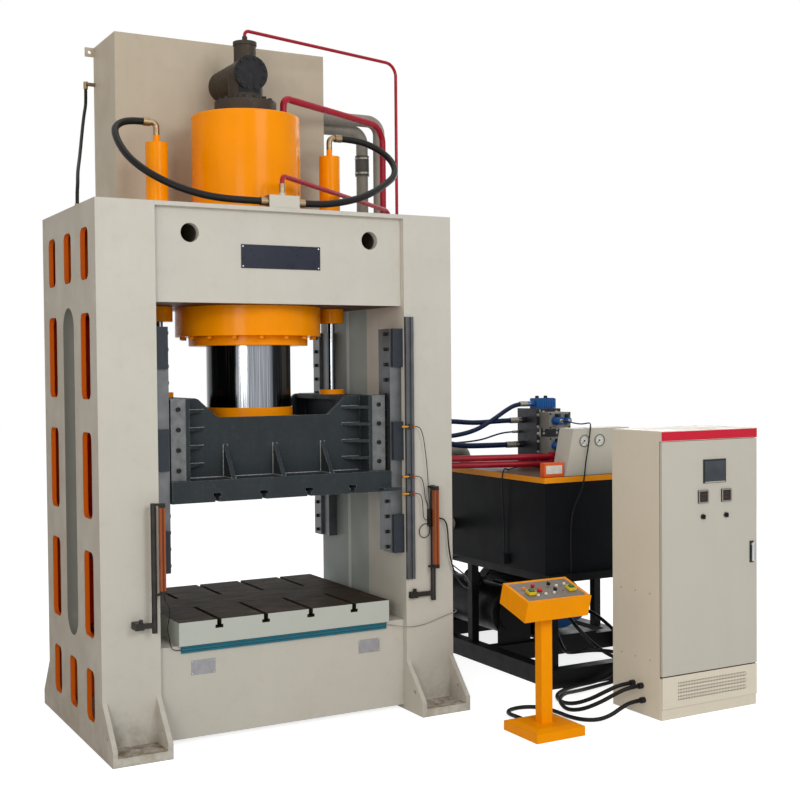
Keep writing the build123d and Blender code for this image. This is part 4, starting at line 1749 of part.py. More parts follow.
def build():
    """Every node by name."""
    right = upright()
    parts = {
        "left_upright": mirror(right, about=Plane.YZ),
        "right_upright": right,
        "crown": crown(),
        "bed": bed(),
        "bolster_plate": bolster_plate(),
        "main_cylinder": main_cylinder(),
        "gland_ring": gland_and_bolts(),
        "prefill_valve_body": prefill_valve_body(),
        "prefill_poppet": prefill_poppet(),
        "socket_screws": socket_screws(),
        "upper_tank": upper_tank(),
        "return_cylinders": group(*left_right(return_cylinder())),
        "hose_fittings": group(tee_block(), *left_right(return_elbow()), port_block(), *level_fittings()),
        "return_hoses": return_hoses(),
        "tank_level_hose": tank_level_hose(),
        "supply_hoses": supply_hoses(),
        "signal_wires": signal_wires(),
        "floor_cables": floor_cables(),
        "pressure_pipes": pressure_pipes(),
        "suction_pipes": suction_pipes(),
        "guide_rails": group(*four_corners(guide_rail())),
        "rail_clamp_blocks": rail_clamp_blocks(),
        "sensor_rail": sensor_rail(),
        "proximity_sensors": proximity_sensors(),
        "light_curtains": light_curtains(),
        "light_curtain_stands": light_curtain_stands(),
        "cable_duct": block((-DUCT_X, DUCT_X), (-FACE_Y - DUCT_T, -FACE_Y), DUCT_Z),
        "slide_body": slide_body() + striker(),
        "guide_shoes": group(*four_corners(guide_shoe())),
        "plunger": plunger(),
        "return_rods": group(*left_right(return_rod())),
        "clamp_discs": clamp_discs(),
        "power_base": power_base(),
        "oil_cooler": oil_cooler(),
        "power_tank": power_tank(),
        "power_tank_lid": power_tank_lid(),
        "drive_motor": drive_motor(),
        "motor_coupling": motor_coupling(),
        "main_pump": main_pump(),
        "valve_manifold": valve_manifold(),
        "control_valves": control_valves(),
        "gauge_panel": gauge_panel(),
        "pressure_gauges": pressure_gauges(),
        "left_gauge_needle": gauge_needle(GAUGE_XS[0]),
        "right_gauge_needle": gauge_needle(GAUGE_XS[1]),
        "cabinet_shell": cabinet_shell(),
        "cabinet_door": cabinet_door(),
        "door_instruments": door_instruments(),
        "door_handle": door_handle(),
        "left_door_selector": door_selector(PANEL_MID_X - INSTRUMENT_STEP),
        "right_door_selector": door_selector(PANEL_MID_X + INSTRUMENT_STEP),
        "switchgear_plate": switchgear_plate(),
        "control_pedestal": control_pedestal(),
        "console_panel": console_panel(),
    }
    for name in CONSOLE_BUTTONS:
        parts[name] = console_button(name)
    return parts


def main():
    """Write one STEP file for each node."""
    os.makedirs("parts", exist_ok=True)
    for name, shape in build().items():
        export_step(shape, f"parts/{name}.step")


main()
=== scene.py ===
"""Looks of the hydraulic press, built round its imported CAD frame.

Places and sizes are millimetres in the object's own frame, with +X to the right, +Y to the rear and +Z up.
Lamps are placed in metres, and the shader coordinates of the nodes are metres too.
"""
import bpy
import bmesh
from math import cos, pi, radians, sin
from mathutils import Matrix, Vector


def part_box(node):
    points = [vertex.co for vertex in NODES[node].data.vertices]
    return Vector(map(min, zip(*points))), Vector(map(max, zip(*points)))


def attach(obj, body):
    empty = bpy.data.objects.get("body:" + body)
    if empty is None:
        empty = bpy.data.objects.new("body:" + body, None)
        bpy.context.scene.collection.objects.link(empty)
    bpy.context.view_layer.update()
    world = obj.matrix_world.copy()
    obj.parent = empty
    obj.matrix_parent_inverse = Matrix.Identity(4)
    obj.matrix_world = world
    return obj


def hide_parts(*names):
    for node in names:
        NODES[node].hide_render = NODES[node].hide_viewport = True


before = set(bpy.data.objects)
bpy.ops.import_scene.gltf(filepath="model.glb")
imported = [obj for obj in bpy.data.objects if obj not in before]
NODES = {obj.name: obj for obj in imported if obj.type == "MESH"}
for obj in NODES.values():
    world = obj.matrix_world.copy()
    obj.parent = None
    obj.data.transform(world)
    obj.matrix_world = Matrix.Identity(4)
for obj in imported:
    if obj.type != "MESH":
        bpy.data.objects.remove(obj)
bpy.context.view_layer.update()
scene = bpy.context.scene
MM = 1000                   # millimetres in a metre


# Sizes
def corners(node):
    """Low and high corner of a node's box, in millimetres."""
    return [[c * MM for c in corner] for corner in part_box(node)]


# From the frame, for the masks and pieces below
(INNER_X, _, _), (OUTER_X, _, FRAME_TOP) = corners("right_upright")
(_, _, CROWN_FOOT), (_, HALF_D, _) = corners("crown")
_, (_, FACE_Y, BED_TOP) = corners("bed")
_, BOLSTER = corners("bolster_plate")
(_, _, DUCT_FOOT), _ = corners("cable_duct")
CURTAIN_LOW, CURTAIN_HIGH = corners("light_curtains")
(_, _, SLIDE_Z), _ = corners("slide_body")
SHOE_LOW, SHOE_HIGH = corners("guide_shoes")
_, (_, _, BARREL_TOP) = corners("main_cylinder")
(_, STRIP_FACE, LID_TOP), (MANIFOLD_RIGHT, _, MANIFOLD_TOP) = corners("valve_manifold")
(PANEL_LEFT, _, _), _ = corners("gauge_panel")
(_, GAUGE_FRONT, _), _ = corners("pressure_gauges")
LID_LOW, LID_HIGH = corners("power_tank_lid")
(_, DOOR_FACE, _), (CAB_RIGHT, _, CAB_TOP) = corners("cabinet_shell")
_, (SENSOR_END, _, _) = corners("proximity_sensors")
_, (_, TANK_REAR, _) = corners("upper_tank")

# As in the CAD model
SKIN = 1.5                  # how far a mask passes a face, or stays off one
CHANNEL_R = 128             # half-round pipe channel in the uprights' outer faces
FOOT_T = 50                 # anchor feet
VALVE_AXIS_Z = BARREL_TOP + 274
COVER_FACE = -110           # front cover of the prefill valve
COVER_R = 112
MANIFOLD_LEFT = MANIFOLD_RIGHT - 227
MANIFOLD_FRONT = STRIP_FACE + 22
VALVE_X = MANIFOLD_LEFT + 124
VALVE_ZS = (LID_TOP + 170, LID_TOP + 358)
VALVE_FACE = 58             # front of the pilot valves' bodies
COILS = ((-50, 30, 84), (50, 24, 50))   # place beside the valve's middle, radius and length
BOX_X = (LID_LOW[0] + 30, LID_LOW[0] + 196)     # indicator box on the lid's corner
BOX_FACE = LID_LOW[1] + 44
SLEEVE_X = OUTER_X + 57     # rubber sleeve of the suction pipe
SLEEVE_Y = TANK_REAR - 155
SLEEVE_Z = (FRAME_TOP + 454, FRAME_TOP + 604)
CAB_X = (CAB_RIGHT - 800, CAB_RIGHT)
HANDLE_X = CAB_RIGHT - 51
SENSOR_Y = -HALF_D - 32
CONSOLE_AT = (1286.5, -1509, 873)
CONSOLE_TILT = radians(16.3)
CONSOLE_UP = (0, -sin(CONSOLE_TILT), cos(CONSOLE_TILT))
CONSOLE_LAMP = (-146, 36)   # places along and up the tilted panel
CONSOLE_WHITE = ((-108, -63), (-48, -56), (16, -52), (87, 30), (152, 41))
CONSOLE_DARK = (86, -43)
CAP_R = 9
LAMP_R = 12


MATERIALS = {}              # by their names


class Nodes:
    """Short names for the nodes of a tree."""

    def __init__(self, tree):
        self.tree = tree

    def put(self, socket, value):
        """Set a socket to a value, or join it to an output."""
        if isinstance(value, bpy.types.NodeSocket):
            self.tree.links.new(value, socket)
        elif isinstance(value, (tuple, list)) and len(value) == 3 and socket.type == "RGBA":
            socket.default_value = (*value, 1)
        else:
            socket.default_value = value

    def node(self, kind, *values, **named):
        """A new node, with values for its first sockets or for sockets by name."""
        made = self.tree.nodes.new("ShaderNode" + kind)
        for socket, value in zip(made.inputs, values):
            self.put(socket, value)
        for name, value in named.items():
            self.put(made.inputs[name], value)
        return made

    def math(self, op, a, b=0.0):
        made = self.node("Math", a, b)
        made.operation = op
        return made.outputs[0]

    def times(self, *factors):
        """Product of two or more values."""
        result = factors[0]
        for factor in factors[1:]:
            result = self.math("MULTIPLY", result, factor)
        return result

    def most(self, *values):
        """Largest of two or more values."""
        result = values[0]
        for value in values[1:]:
            result = self.math("MAXIMUM", result, value)
        return result

    def mixed(self, other, shown, out):
        """Join one shader for the light on the object, and another for what is seen directly or in gloss."""
        path = self.node("LightPath").outputs
        seen = self.most(*[path[name] for name in ("Is Camera Ray", "Is Glossy Ray", "Is Transmission Ray")])
        both = self.node("MixShader", seen, other.outputs[0], shown.outputs[0])
        self.put(out.inputs["Surface"], both.outputs[0])


class Shader(Nodes):
    """A material with its node tree, and the patterns and masks used here."""

    def __init__(self, name, edge=0.0):
        mat = bpy.data.materials.new(name)
        mat.use_nodes = True
        MATERIALS[name] = mat
        super().__init__(mat.node_tree)
        self.bsdf = self.tree.nodes["Principled BSDF"]
        self.coord = self.node("TexCoord").outputs["Object"]
        self.split = None
        self.soft = None
        if edge:
            bevel = self.node("Bevel", edge)
            bevel.samples = 4
            self.soft = bevel.outputs[0]
            self.put(self.bsdf.inputs["Normal"], self.soft)

    def reach(self, a, b):
        """Distance from a centre, from its parts along two axes."""
        return self.math("SQRT", self.math("ADD", self.times(a, a), self.times(b, b)))

    def noise(self, scale, detail=3.0, roughness=0.5, stretch=None, vector=None):
        if stretch:
            vector = self.node("Mapping", Vector=self.coord, Scale=stretch).outputs[0]
        return self.node("TexNoise", Vector=vector or self.coord, Scale=scale, Detail=detail,
                         Roughness=roughness).outputs["Fac"]

    def axis(self, name):
        """Place along an axis, in metres. An abs axis is measured both ways."""
        if self.split is None:
            self.split = self.node("SeparateXYZ", self.coord)
        value = self.split.outputs[name[-1]]
        return self.math("ABSOLUTE", value) if name.startswith("abs") else value

    def off(self, name, place):
        """Distance in metres from a place in millimetres along an axis."""
        return self.math("SUBTRACT", self.axis(name), place / MM)

    def over(self, value, limit):
        return self.math("GREATER_THAN", value, limit / MM)

    def under(self, value, limit):
        return self.math("LESS_THAN", value, limit / MM)

    def within(self, **ranges):
        """1 inside the ranges given by axis, in millimetres, and 0 outside."""
        result = 1.0
        for name, (low, high) in ranges.items():
            value = self.axis(name)
            result = self.times(result, self.over(value, low), self.under(value, high))
        return result

    def ramp(self, fac, low, high, a=0.0, b=1.0):
        """Straight ramp from a at low to b at high, clamped."""
        return self.node("MapRange", fac, low, high, a, b).outputs[0]

    def fade(self, name, low, high, a, b):
        """Straight ramp along an axis, between two places in millimetres."""
        return self.ramp(self.axis(name), low / MM, high / MM, a, b)

    def mix(self, fac, a, b):
        made = self.node("Mix", fac)
        made.data_type = "RGBA"
        self.put(made.inputs[6], a)
        self.put(made.inputs[7], b)
        return made.outputs[2]

    def true_normal(self):
        return self.node("NewGeometry").outputs["Normal"]

    def edges(self):
        """1 on the outer edges that the bevel rounds."""
        made = self.node("VectorMath", self.soft, self.true_normal())
        made.operation = "DOT_PRODUCT"
        return self.ramp(made.outputs["Value"], 0.99, 0.86)

    def bump(self, height, strength, distance):
        made = self.node("Bump", Height=height, Strength=strength, Distance=distance)
        if self.bsdf.inputs["Normal"].is_linked:
            self.put(made.inputs["Normal"], self.bsdf.inputs["Normal"].links[0].from_socket)
        self.put(self.bsdf.inputs["Normal"], made.outputs[0])

    def done(self, color, roughness, metallic=0.0, **extra):
        self.put(self.bsdf.inputs["Base Color"], color)
        self.put(self.bsdf.inputs["Roughness"], roughness)
        self.put(self.bsdf.inputs["Metallic"], metallic)
        for name, value in extra.items():
            self.put(self.bsdf.inputs[name.replace("_", " ")], value)


def shade(color, factor):
    """A colour, darker or lighter."""
    return tuple(min(1.0, c * factor) for c in color)


def rgb(r, g, b):
    """Scene-linear colour from sRGB numbers of 0 to 255."""
    return tuple((c / 255 / 12.92) if c <= 10 else ((c / 255 + 0.055) / 1.055) ** 2.4 for c in (r, g, b))


GREY = rgb(198, 194, 184)
# Brown of stains and dust, also used as painted shade in the cabinet door's gap
STAIN_AND_SHADE = rgb(112, 90, 66)
ORANGE = rgb(252, 150, 0)
RIM_ORANGE = rgb(214, 98, 4)
DARK_PAINT = rgb(24, 26, 30)
RUST = (0.12, 0.06, 0.03)
PAINT_GLOSS = {"Specular_IOR_Level": 0.22}
DEEP_GLOSS = {"Specular_IOR_Level": 0.12}
DULL_GLOSS = {"Specular_IOR_Level": 0.05}
ENAMEL_GLOSS = {"Specular_IOR_Level": 0.06, "Coat_Weight": 0.06, "Coat_Roughness": 0.1}
METAL_GLOSS = {"Specular_IOR_Level": 0.4}


# Kinds of material
def paint(name, color, rough=0.42, mottle=0.92, grime=0.0, scale=3.0, patches=(), edge=0.003, wear_and_highlight=0.3,
          wear_and_highlight_color=None, grime_color=STAIN_AND_SHADE, gloss=PAINT_GLOSS):
    """Sprayed enamel: slow colour drift, faint runs, orange peel, worn edges and some grime. Where the worn
    edges are pale, as on the slide, they are also a painted edge highlight.
    """
    s = Shader(name, edge)
    drift = s.ramp(s.noise(scale, 4), 0.3, 0.7)
    tone = s.mix(drift, color, shade(color, mottle))
    runs = s.ramp(s.noise(1.0, 4, 0.6, stretch=(scale * 5, scale * 5, scale * 0.4)), 0.45, 0.75, 0.0, 0.5)
    tone = s.mix(runs, tone, shade(color, mottle ** 1.5))
    for mask, patch in patches:
        tone = s.mix(mask(s), tone, patch)
    if grime:
        dirt = s.ramp(s.noise(scale * 3.3, 6, 0.7), 0.52, 0.75, 0.0, grime)
        tone = s.mix(dirt, tone, grime_color)
    # Worn edges, which on the slide are pale enough to be a painted highlight along the edges
    chips_and_highlight = s.times(s.edges(), s.ramp(s.noise(scale * 12, 5, 0.7), 0.42, 0.62, 0.0, wear_and_highlight))
    tone = s.mix(chips_and_highlight, tone, wear_and_highlight_color or shade(color, 0.55))
    s.bump(s.noise(420, 2), 0.2, 0.0004)
    s.bump(s.noise(scale * 3, 2), 0.1, 0.004)
    s.done(tone, s.ramp(s.noise(scale * 2.1, 3), 0.3, 0.7, rough - 0.06, rough + 0.1), **gloss)


def metal(name, color, rough=0.3, brushed=(60, 60, 60), mottle=0.8, scale=14.0, rust=0.0, metallic=1.0,
          patches=(), edge=0.0015, gloss=METAL_GLOSS):
    """Machined or rolled metal with tool marks and faint stains. Patches are painted over it."""
    s = Shader(name, edge)
    tone = s.mix(s.ramp(s.noise(scale, 4), 0.3, 0.7), color, shade(color, mottle))
    if rust:
        tone = s.mix(s.ramp(s.noise(scale * 0.6, 7, 0.7), 0.5, 0.7, 0, rust), tone, RUST)
    bare = metallic
    for mask, patch in patches:
        cover = mask(s)
        tone = s.mix(cover, tone, patch)
        bare = s.times(bare, s.math("SUBTRACT", 1.0, cover))
    lines = s.noise(1.0, 3, 0.6, stretch=brushed)
    s.bump(lines, 0.15, 0.0004)
    s.done(tone, s.ramp(lines, 0.3, 0.7, rough * 0.75, rough * 1.3), bare, **gloss)


def plastic(name, color, rough=0.38):
    """Moulded plastic with a fine grain."""
    s = Shader(name, 0.001)
    tone = s.mix(s.ramp(s.noise(30, 3), 0.3, 0.7), color, shade(color, 0.82))
    s.bump(s.noise(900, 2), 0.3, 0.0002)
    s.done(tone, s.ramp(s.noise(90, 2), 0.3, 0.7, rough, rough + 0.12), **PAINT_GLOSS)


def chrome_with_painted_reflections(name, axis_x, bands, dark=rgb(30, 31, 34), reflection_color=rgb(196, 202, 210)):
    """Polished rod with painted reflections as soft bright bands round it, and fine honing lines that run
    along it.

    A band has its middle and half width in degrees, and its strength, and repeats after half a turn.
    """
    s = Shader(name)
    x = s.off("absX", axis_x) if axis_x else s.axis("X")
    angle = s.math("ARCTAN2", s.axis("Y"), x)
    half_turn = s.math("MODULO", s.math("ADD", angle, 2 * pi), pi)
    turn = s.node("CombineXYZ", s.math("COSINE", angle), s.math("SINE", angle), s.times(s.axis("Z"), 0.02))
    fine = s.noise(42.0, 3, 0.75, vector=turn.outputs[0])
    lines = s.ramp(fine, 0.38, 0.62, 0.35, 1.0)
    # Strength of the painted reflection at each angle round the rod
    glow = 0.0
    for middle, half_width, strength in bands:
        away = s.math("ABSOLUTE", s.math("SUBTRACT", half_turn, radians(middle)))
        glow = s.most(glow, s.ramp(away, radians(half_width + 3), radians(half_width - 5), 0.0, strength))
    glow = s.most(s.times(glow, lines), s.ramp(fine, 0.58, 0.72, 0.0, 0.35))
    s.done(s.mix(glow, dark, reflection_color), s.ramp(fine, 0.3, 0.7, 0.08, 0.2), 1.0)


def hose_rubber(name, color, rough=0.5):
    """Wrapped hose cover with a faint weave."""
    s = Shader(name)
    tone = s.mix(s.ramp(s.noise(60, 4), 0.3, 0.7), color, shade(color, 0.7))
    s.bump(s.noise(1.0, 2, 0.6, stretch=(700, 700, 700)), 0.4, 0.0005)
    s.done(tone, s.ramp(s.noise(90, 2), 0.3, 0.7, rough - 0.14, rough + 0.04), Specular_IOR_Level=0.18)


def dark_glass(name):
    """Glass of the operator screen, with a dim picture area."""
    s = Shader(name)
    tone = s.mix(s.ramp(s.noise(9, 2), 0.35, 0.65), rgb(40, 52, 62), rgb(24, 32, 40))
    s.done(tone, s.ramp(s.noise(200, 2), 0.3, 0.7, 0.12, 0.2))


# Masks: where a patch of another colour lies on a node
def region(**ranges):
    """Mask maker for a box on the object."""
    return lambda s: s.within(**ranges)


def inner_face(low, high):
    """Mask maker for a band across the uprights' inner faces, between two depths."""
    return region(absX=(INNER_X - 28, INNER_X + SKIN), Y=(low, high), Z=(BED_TOP + 27, CROWN_FOOT - 4))


def in_channel(s):
    """The half-round pipe channel of an upright's outer face."""
    near = s.under(s.reach(s.off("absX", OUTER_X), s.axis("Y")), CHANNEL_R + SKIN)
    deep = s.within(absX=(OUTER_X - 148, OUTER_X - SKIN), Z=(BED_TOP + 7, CROWN_FOOT - 4))
    return s.times(near, deep)


def window_inside(s):
    """Inside of an upright, behind its plates and away from the pipe channel."""
    deep = s.within(absX=(INNER_X + SKIN, OUTER_X - SKIN), absY=(-1, HALF_D - 18),
                    Z=(FOOT_T + 2, FRAME_TOP - 36))
    return s.times(deep, s.math("SUBTRACT", 1.0, in_channel(s)))


def foot_stain(s):
    """Oil and dust that lie in the pans of the feet."""
    pan = s.within(absX=(INNER_X + 12, OUTER_X - 13), absY=(HALF_D + 2, HALF_D + 202), Z=(0, FOOT_T + 25))
    up = s.ramp(s.node("SeparateXYZ", s.true_normal()).outputs["Z"], 0.5, 0.9)
    return s.times(pan, up, s.ramp(s.noise(16, 6, 0.7), 0.40, 0.62, 0.1, 0.95))


def foot_splash(s):
    """Dust that climbs the lowest edge of the uprights and their feet."""
    low = s.times(s.fade("Z", 20, 350, 0.5, 0.0), s.within(absX=(INNER_X + 2, OUTER_X + 132)))
    return s.times(low, s.ramp(s.noise(9, 6, 0.7), 0.42, 0.68))


def room_shade(s):
    """Painted shade: darker and warmer towards the floor."""
    return s.fade("Z", 0, 2600, 0.55, 0.0)


def left_side_shade(s):
    """Painted shade on the frame's left side: darker, warmer colour, deeper towards the floor."""
    side = s.under(s.axis("X"), SKIN - OUTER_X)
    return s.times(side, s.fade("Y", -600, 600, 0.75, 1.0), s.fade("Z", 0, 3100, 0.78, 0.52))


def bolster_edge(s):
    """The painted edge of the bolster. Its top and slots stay bare."""
    half_x, half_y, top = (size - 0.5 for size in BOLSTER)
    edges = s.most(s.over(s.axis("absX"), half_x), s.over(s.axis("absY"), half_y))
    return s.times(s.under(s.axis("Z"), top), edges)


def duct_lines(s):
    """The two dark grooves along the cable duct."""
    grooves = ((11.5, 15.5), (27.5, 30.5))      # above its foot
    return s.most(*[s.within(Z=(DUCT_FOOT + low, DUCT_FOOT + high)) for low, high in grooves])


def curtain_window(s):
    """The dark sensing strip along the front of each light curtain."""
    y = (CURTAIN_LOW[1] - 1, CURTAIN_LOW[1] + 0.5)
    z = (CURTAIN_LOW[2] + 15, CURTAIN_HIGH[2] - 15)
    bars = (CURTAIN_LOW[0] + 16, CURTAIN_HIGH[0] - 16)
    return s.most(*[s.within(X=(x - 6, x + 6), Y=y, Z=z) for x in bars])


def curtain_ends(s):
    """End caps of the light curtains."""
    return s.most(s.under(s.axis("Z"), CURTAIN_LOW[2] + 14), s.over(s.axis("Z"), CURTAIN_HIGH[2] - 14))


def valve_coils(s):
    """Coils ahead of the valve bodies, and the valve on the manifold's top."""
    return s.most(s.within(Y=(-100, VALVE_FACE - 0.5)), s.within(Z=(MANIFOLD_TOP + 1, MANIFOLD_TOP + 114)))


def console_cap(s, place, radius):
    """Round cap on the tilted panel."""
    y = s.off("Y", CONSOLE_AT[1])
    z = s.off("Z", CONSOLE_AT[2])
    along = s.off("X", CONSOLE_AT[0] + place[0])
    up = s.math("ADD", s.times(y, cos(CONSOLE_TILT)), s.times(z, sin(CONSOLE_TILT)))
    up = s.math("SUBTRACT", up, place[1] / MM)
    rise = s.math("SUBTRACT", s.times(z, cos(CONSOLE_TILT)), s.times(y, sin(CONSOLE_TILT)))
    return s.times(s.under(s.reach(along, up), radius), s.over(rise, 2))


def white_caps(s):
    return s.most(*[console_cap(s, place, CAP_R) for place in CONSOLE_WHITE])


def lamp_cap(s):
    return console_cap(s, CONSOLE_LAMP, LAMP_R)


# Painted shade: the underside of the crown is coloured dark brown.
CROWN_UNDERSIDE_SHADE = region(absX=(-1, INNER_X - 0.5), absY=(-1, FACE_Y - 1),
                         Z=(CROWN_FOOT - 54, CROWN_FOOT + SKIN))
LID_RIM = region(Z=(LID_TOP - 41, LID_TOP - 0.8))
INDICATOR_BOX = region(X=(BOX_X[0] - 10, BOX_X[1] + 14), Y=(BOX_FACE - 15, BOX_FACE + 105),
                       Z=(LID_TOP + 0.5, LID_HIGH[2] + 22))
# Painted shade: the jambs behind the door's gap take the dark stain colour.
DOOR_GAP_SHADE = region(X=(CAB_X[0] + 0.2, CAB_X[1] - 0.2), Y=(DOOR_FACE + 0.2, DOOR_FACE + 54),
                      Z=(262, CAB_TOP - 58.8))
CABINET_TOP = region(Z=(CAB_TOP - 0.5, CAB_TOP + 10))
CABLE_GLANDS = region(X=(CAB_X[0] - 100, CAB_X[0] - 0.6), Z=(30, 300))
HANDLE_PLATE = region(X=(HANDLE_X - 18, HANDLE_X + 18), Y=(DOOR_FACE - 26, DOOR_FACE - 0.5), Z=(920, 1080))
PIPE_SLEEVE = region(X=(SLEEVE_X - 55, SLEEVE_X + 55), Y=(SLEEVE_Y - 60, SLEEVE_Y + 60),
                     Z=(SLEEVE_Z[0] + 1, SLEEVE_Z[1] - 1))
VALVE_COVER = region(absX=(-1, COVER_R + 3), Y=(COVER_FACE - 2, COVER_FACE + 31),
                     Z=(VALVE_AXIS_Z - 126, VALVE_AXIS_Z + 124))
TEE_BLOCK = region(absX=(-1, 100), Y=(-660, -480), Z=(FRAME_TOP - 86, FRAME_TOP + 94))
PORT_BLOCK = region(X=(OUTER_X - 8, OUTER_X + 122))
SENSOR_NUTS = region(X=(SENSOR_END - 41, SENSOR_END - 17))

# Paints of the press
paint("frame_grey", GREY, 0.48, 0.95, grime=0.08, edge=0.004,
      patches=((room_shade, rgb(177, 173, 162)), (foot_splash, STAIN_AND_SHADE), (foot_stain, STAIN_AND_SHADE),
               # Painted shade on the rear of the uprights' inner faces, with a painted light strip across it
               (inner_face(-100, 700), rgb(152, 158, 152)),
               (inner_face(165, 210), rgb(196, 200, 192)), (left_side_shade, rgb(122, 106, 82)),
               # Painted shade darkens the half-round pipe channels
               (in_channel, rgb(112, 112, 106)), (window_inside, RIM_ORANGE)))
paint("crown_grey", GREY, 0.48, 0.95, grime=0.07, edge=0.004,
      patches=((CROWN_UNDERSIDE_SHADE, rgb(74, 40, 20)),))
paint("upper_tank_grey", rgb(186, 174, 154), 0.5, 0.94, grime=0.1)
paint("orange_enamel", ORANGE, 0.26, 0.93, scale=5, wear_and_highlight_color=rgb(150, 80, 20), gloss=ENAMEL_GLOSS)
# The slide's pale edge wear is partly worn paint and partly a painted highlight along its lit edges
paint("slide_slate", rgb(47, 53, 57), 0.5, 0.82, grime=0.14, scale=6, wear_and_highlight=0.95,
      wear_and_highlight_color=rgb(184, 186, 184), grime_color=rgb(92, 92, 88), gloss=DEEP_GLOSS)
paint("clamp_block_navy", rgb(44, 50, 58), 0.42, 0.8, scale=20, wear_and_highlight_color=rgb(110, 112, 114))
paint("pipe_red", rgb(168, 18, 40), 0.3, 0.82, scale=9, wear_and_highlight_color=rgb(90, 20, 26))
paint("suction_grey", rgb(150, 146, 136), 0.5, 0.82, grime=0.3, scale=6, grime_color=(0.1, 0.07, 0.045),
      patches=((PIPE_SLEEVE, rgb(84, 82, 78)),))
paint("duct_teal", rgb(26, 102, 120), 0.4, 0.85, scale=9, patches=((duct_lines, rgb(14, 34, 44)),))
paint("curtain_orange", rgb(156, 80, 34), 0.36, 0.85, scale=12, edge=0.002,
      patches=((curtain_window, rgb(96, 40, 26)), (curtain_ends, rgb(28, 28, 30))))
paint("plate_navy", rgb(24, 30, 46), 0.3, 0.9, scale=8)

# Paints of the power unit
paint("charcoal", DARK_PAINT, 0.34, 0.8, scale=4, wear_and_highlight_color=rgb(90, 88, 84), gloss=DULL_GLOSS)
paint("lid_brown", rgb(80, 60, 44), 0.45, 0.8, scale=5, wear_and_highlight_color=rgb(60, 50, 40),
      patches=((LID_RIM, rgb(238, 150, 8)), (INDICATOR_BOX, rgb(232, 96, 40))))
paint("black_enamel", rgb(19, 19, 21), 0.42, 0.75, scale=5, wear_and_highlight_color=rgb(90, 88, 84),
      gloss=DEEP_GLOSS)
paint("pump_blue", rgb(18, 92, 158), 0.36, 0.85, scale=9)
paint("valve_grey", rgb(138, 136, 130), 0.4, 0.8, scale=20,
      patches=((valve_coils, rgb(28, 84, 150)),))

# Paints of the cabinet and the push-button stand
paint("cabinet_beige", rgb(220, 211, 193), 0.42, 0.97, grime=0.05, scale=2.5, edge=0.002,
      # painted shade in the door's gap, the darker top and the dark cable glands
      patches=((DOOR_GAP_SHADE, STAIN_AND_SHADE), (CABINET_TOP, rgb(186, 174, 158)),
               (CABLE_GLANDS, rgb(26, 26, 27))))
paint("door_beige", rgb(192, 188, 176), 0.42, 0.97, scale=2.5, edge=0.002,
      patches=((HANDLE_PLATE, rgb(40, 40, 42)),))
paint("header_red", rgb(200, 24, 50), 0.35, 0.95, scale=6, edge=0.001)
paint("console_yellow", rgb(246, 152, 0), 0.34, 0.94, scale=6, wear_and_highlight_color=rgb(120, 80, 20),
      gloss=DULL_GLOSS)

# Metals of the press
metal("bolster_steel", rgb(60, 52, 43), 0.6, (4, 90, 4), 0.6, 9, rust=0.4, metallic=0.0, edge=0.003,
      gloss=DULL_GLOSS, patches=((bolster_edge, rgb(180, 184, 176)),))
metal("machined_steel", rgb(112, 112, 110), 0.36, (90, 90, 5), 0.75, 12)
metal("rail_steel", rgb(104, 106, 108), 0.38, (120, 120, 3), 0.7, 10, metallic=0.8)
metal("sensor_rail_grey", rgb(88, 90, 93), 0.42, (200, 200, 3), 0.75, 10, metallic=0.7)
metal("shoe_steel", rgb(112, 114, 115), 0.45, (90, 90, 6), 0.62, 22, metallic=0.5, gloss=PAINT_GLOSS)
metal("valve_casting", rgb(66, 59, 51), 0.5, (40, 40, 40), 0.85, 9, metallic=0.2, edge=0.003,
      gloss=DEEP_GLOSS, patches=((VALVE_COVER, rgb(34, 34, 37)),))
# Painted reflections: bright bands at fixed angles round the plunger and the return rods
chrome_with_painted_reflections("plunger_chrome", 0, ((58, 7, 1.0), (80, 20, 0.72), (122, 10, 0.45)))
chrome_with_painted_reflections("rod_chrome", 600, ((74, 26, 1.0), (125, 10, 0.4)))
metal("slide_weld", rgb(150, 152, 150), 0.5, (60, 60, 60), 0.5, 70, metallic=0.4)
metal("brass", rgb(196, 140, 60), 0.28, (60, 60, 60), 0.8, 40,
      patches=((SENSOR_NUTS, rgb(40, 38, 40)),))

# Metals of the rest
metal("dark_steel", rgb(56, 54, 52), 0.4, (50, 50, 50), 0.7, 16)
metal("black_screw", rgb(38, 37, 36), 0.38, (50, 50, 50), 0.7, 16, metallic=0.7)
metal("manifold_black", rgb(48, 48, 54), 0.36, (30, 30, 30), 0.6, 18, metallic=0.5)
metal("chrome", rgb(196, 197, 200), 0.14, (30, 30, 2), 0.85, 10)
metal("zinc_fitting", rgb(150, 128, 100), 0.36, (60, 60, 60), 0.7, 40,
      patches=((TEE_BLOCK, rgb(190, 186, 174)), (PORT_BLOCK, DARK_PAINT)))
metal("silver_plate", rgb(170, 166, 156), 0.38, (90, 4, 4), 0.8, 20, metallic=0.7)
metal("data_plate", rgb(150, 149, 152), 0.4, (4, 90, 90), 0.8, 24, metallic=0.4)
metal("console_panel", rgb(128, 118, 108), 0.42, (4, 120, 4), 0.8, 30, metallic=0.6, edge=0.0,
      patches=((white_caps, rgb(222, 220, 212)), (lamp_cap, rgb(240, 120, 30))))

# Plastics, rubber and glass
plastic("black_plastic", rgb(30, 30, 32))
plastic("green_plastic", rgb(26, 92, 50), 0.3)
plastic("yellow_plastic", rgb(236, 202, 40), 0.3)
plastic("red_plastic", rgb(196, 28, 30), 0.28)
plastic("white_plastic", rgb(226, 224, 216), 0.3)
plastic("amber_window", rgb(74, 38, 32), 0.2)
plastic("grey_wire", rgb(140, 138, 132))
plastic("clear_cover", rgb(146, 142, 134), 0.2)
hose_rubber("hose_rubber", rgb(17, 16, 15))
hose_rubber("supply_rubber", rgb(18, 33, 66))
dark_glass("screen_glass")

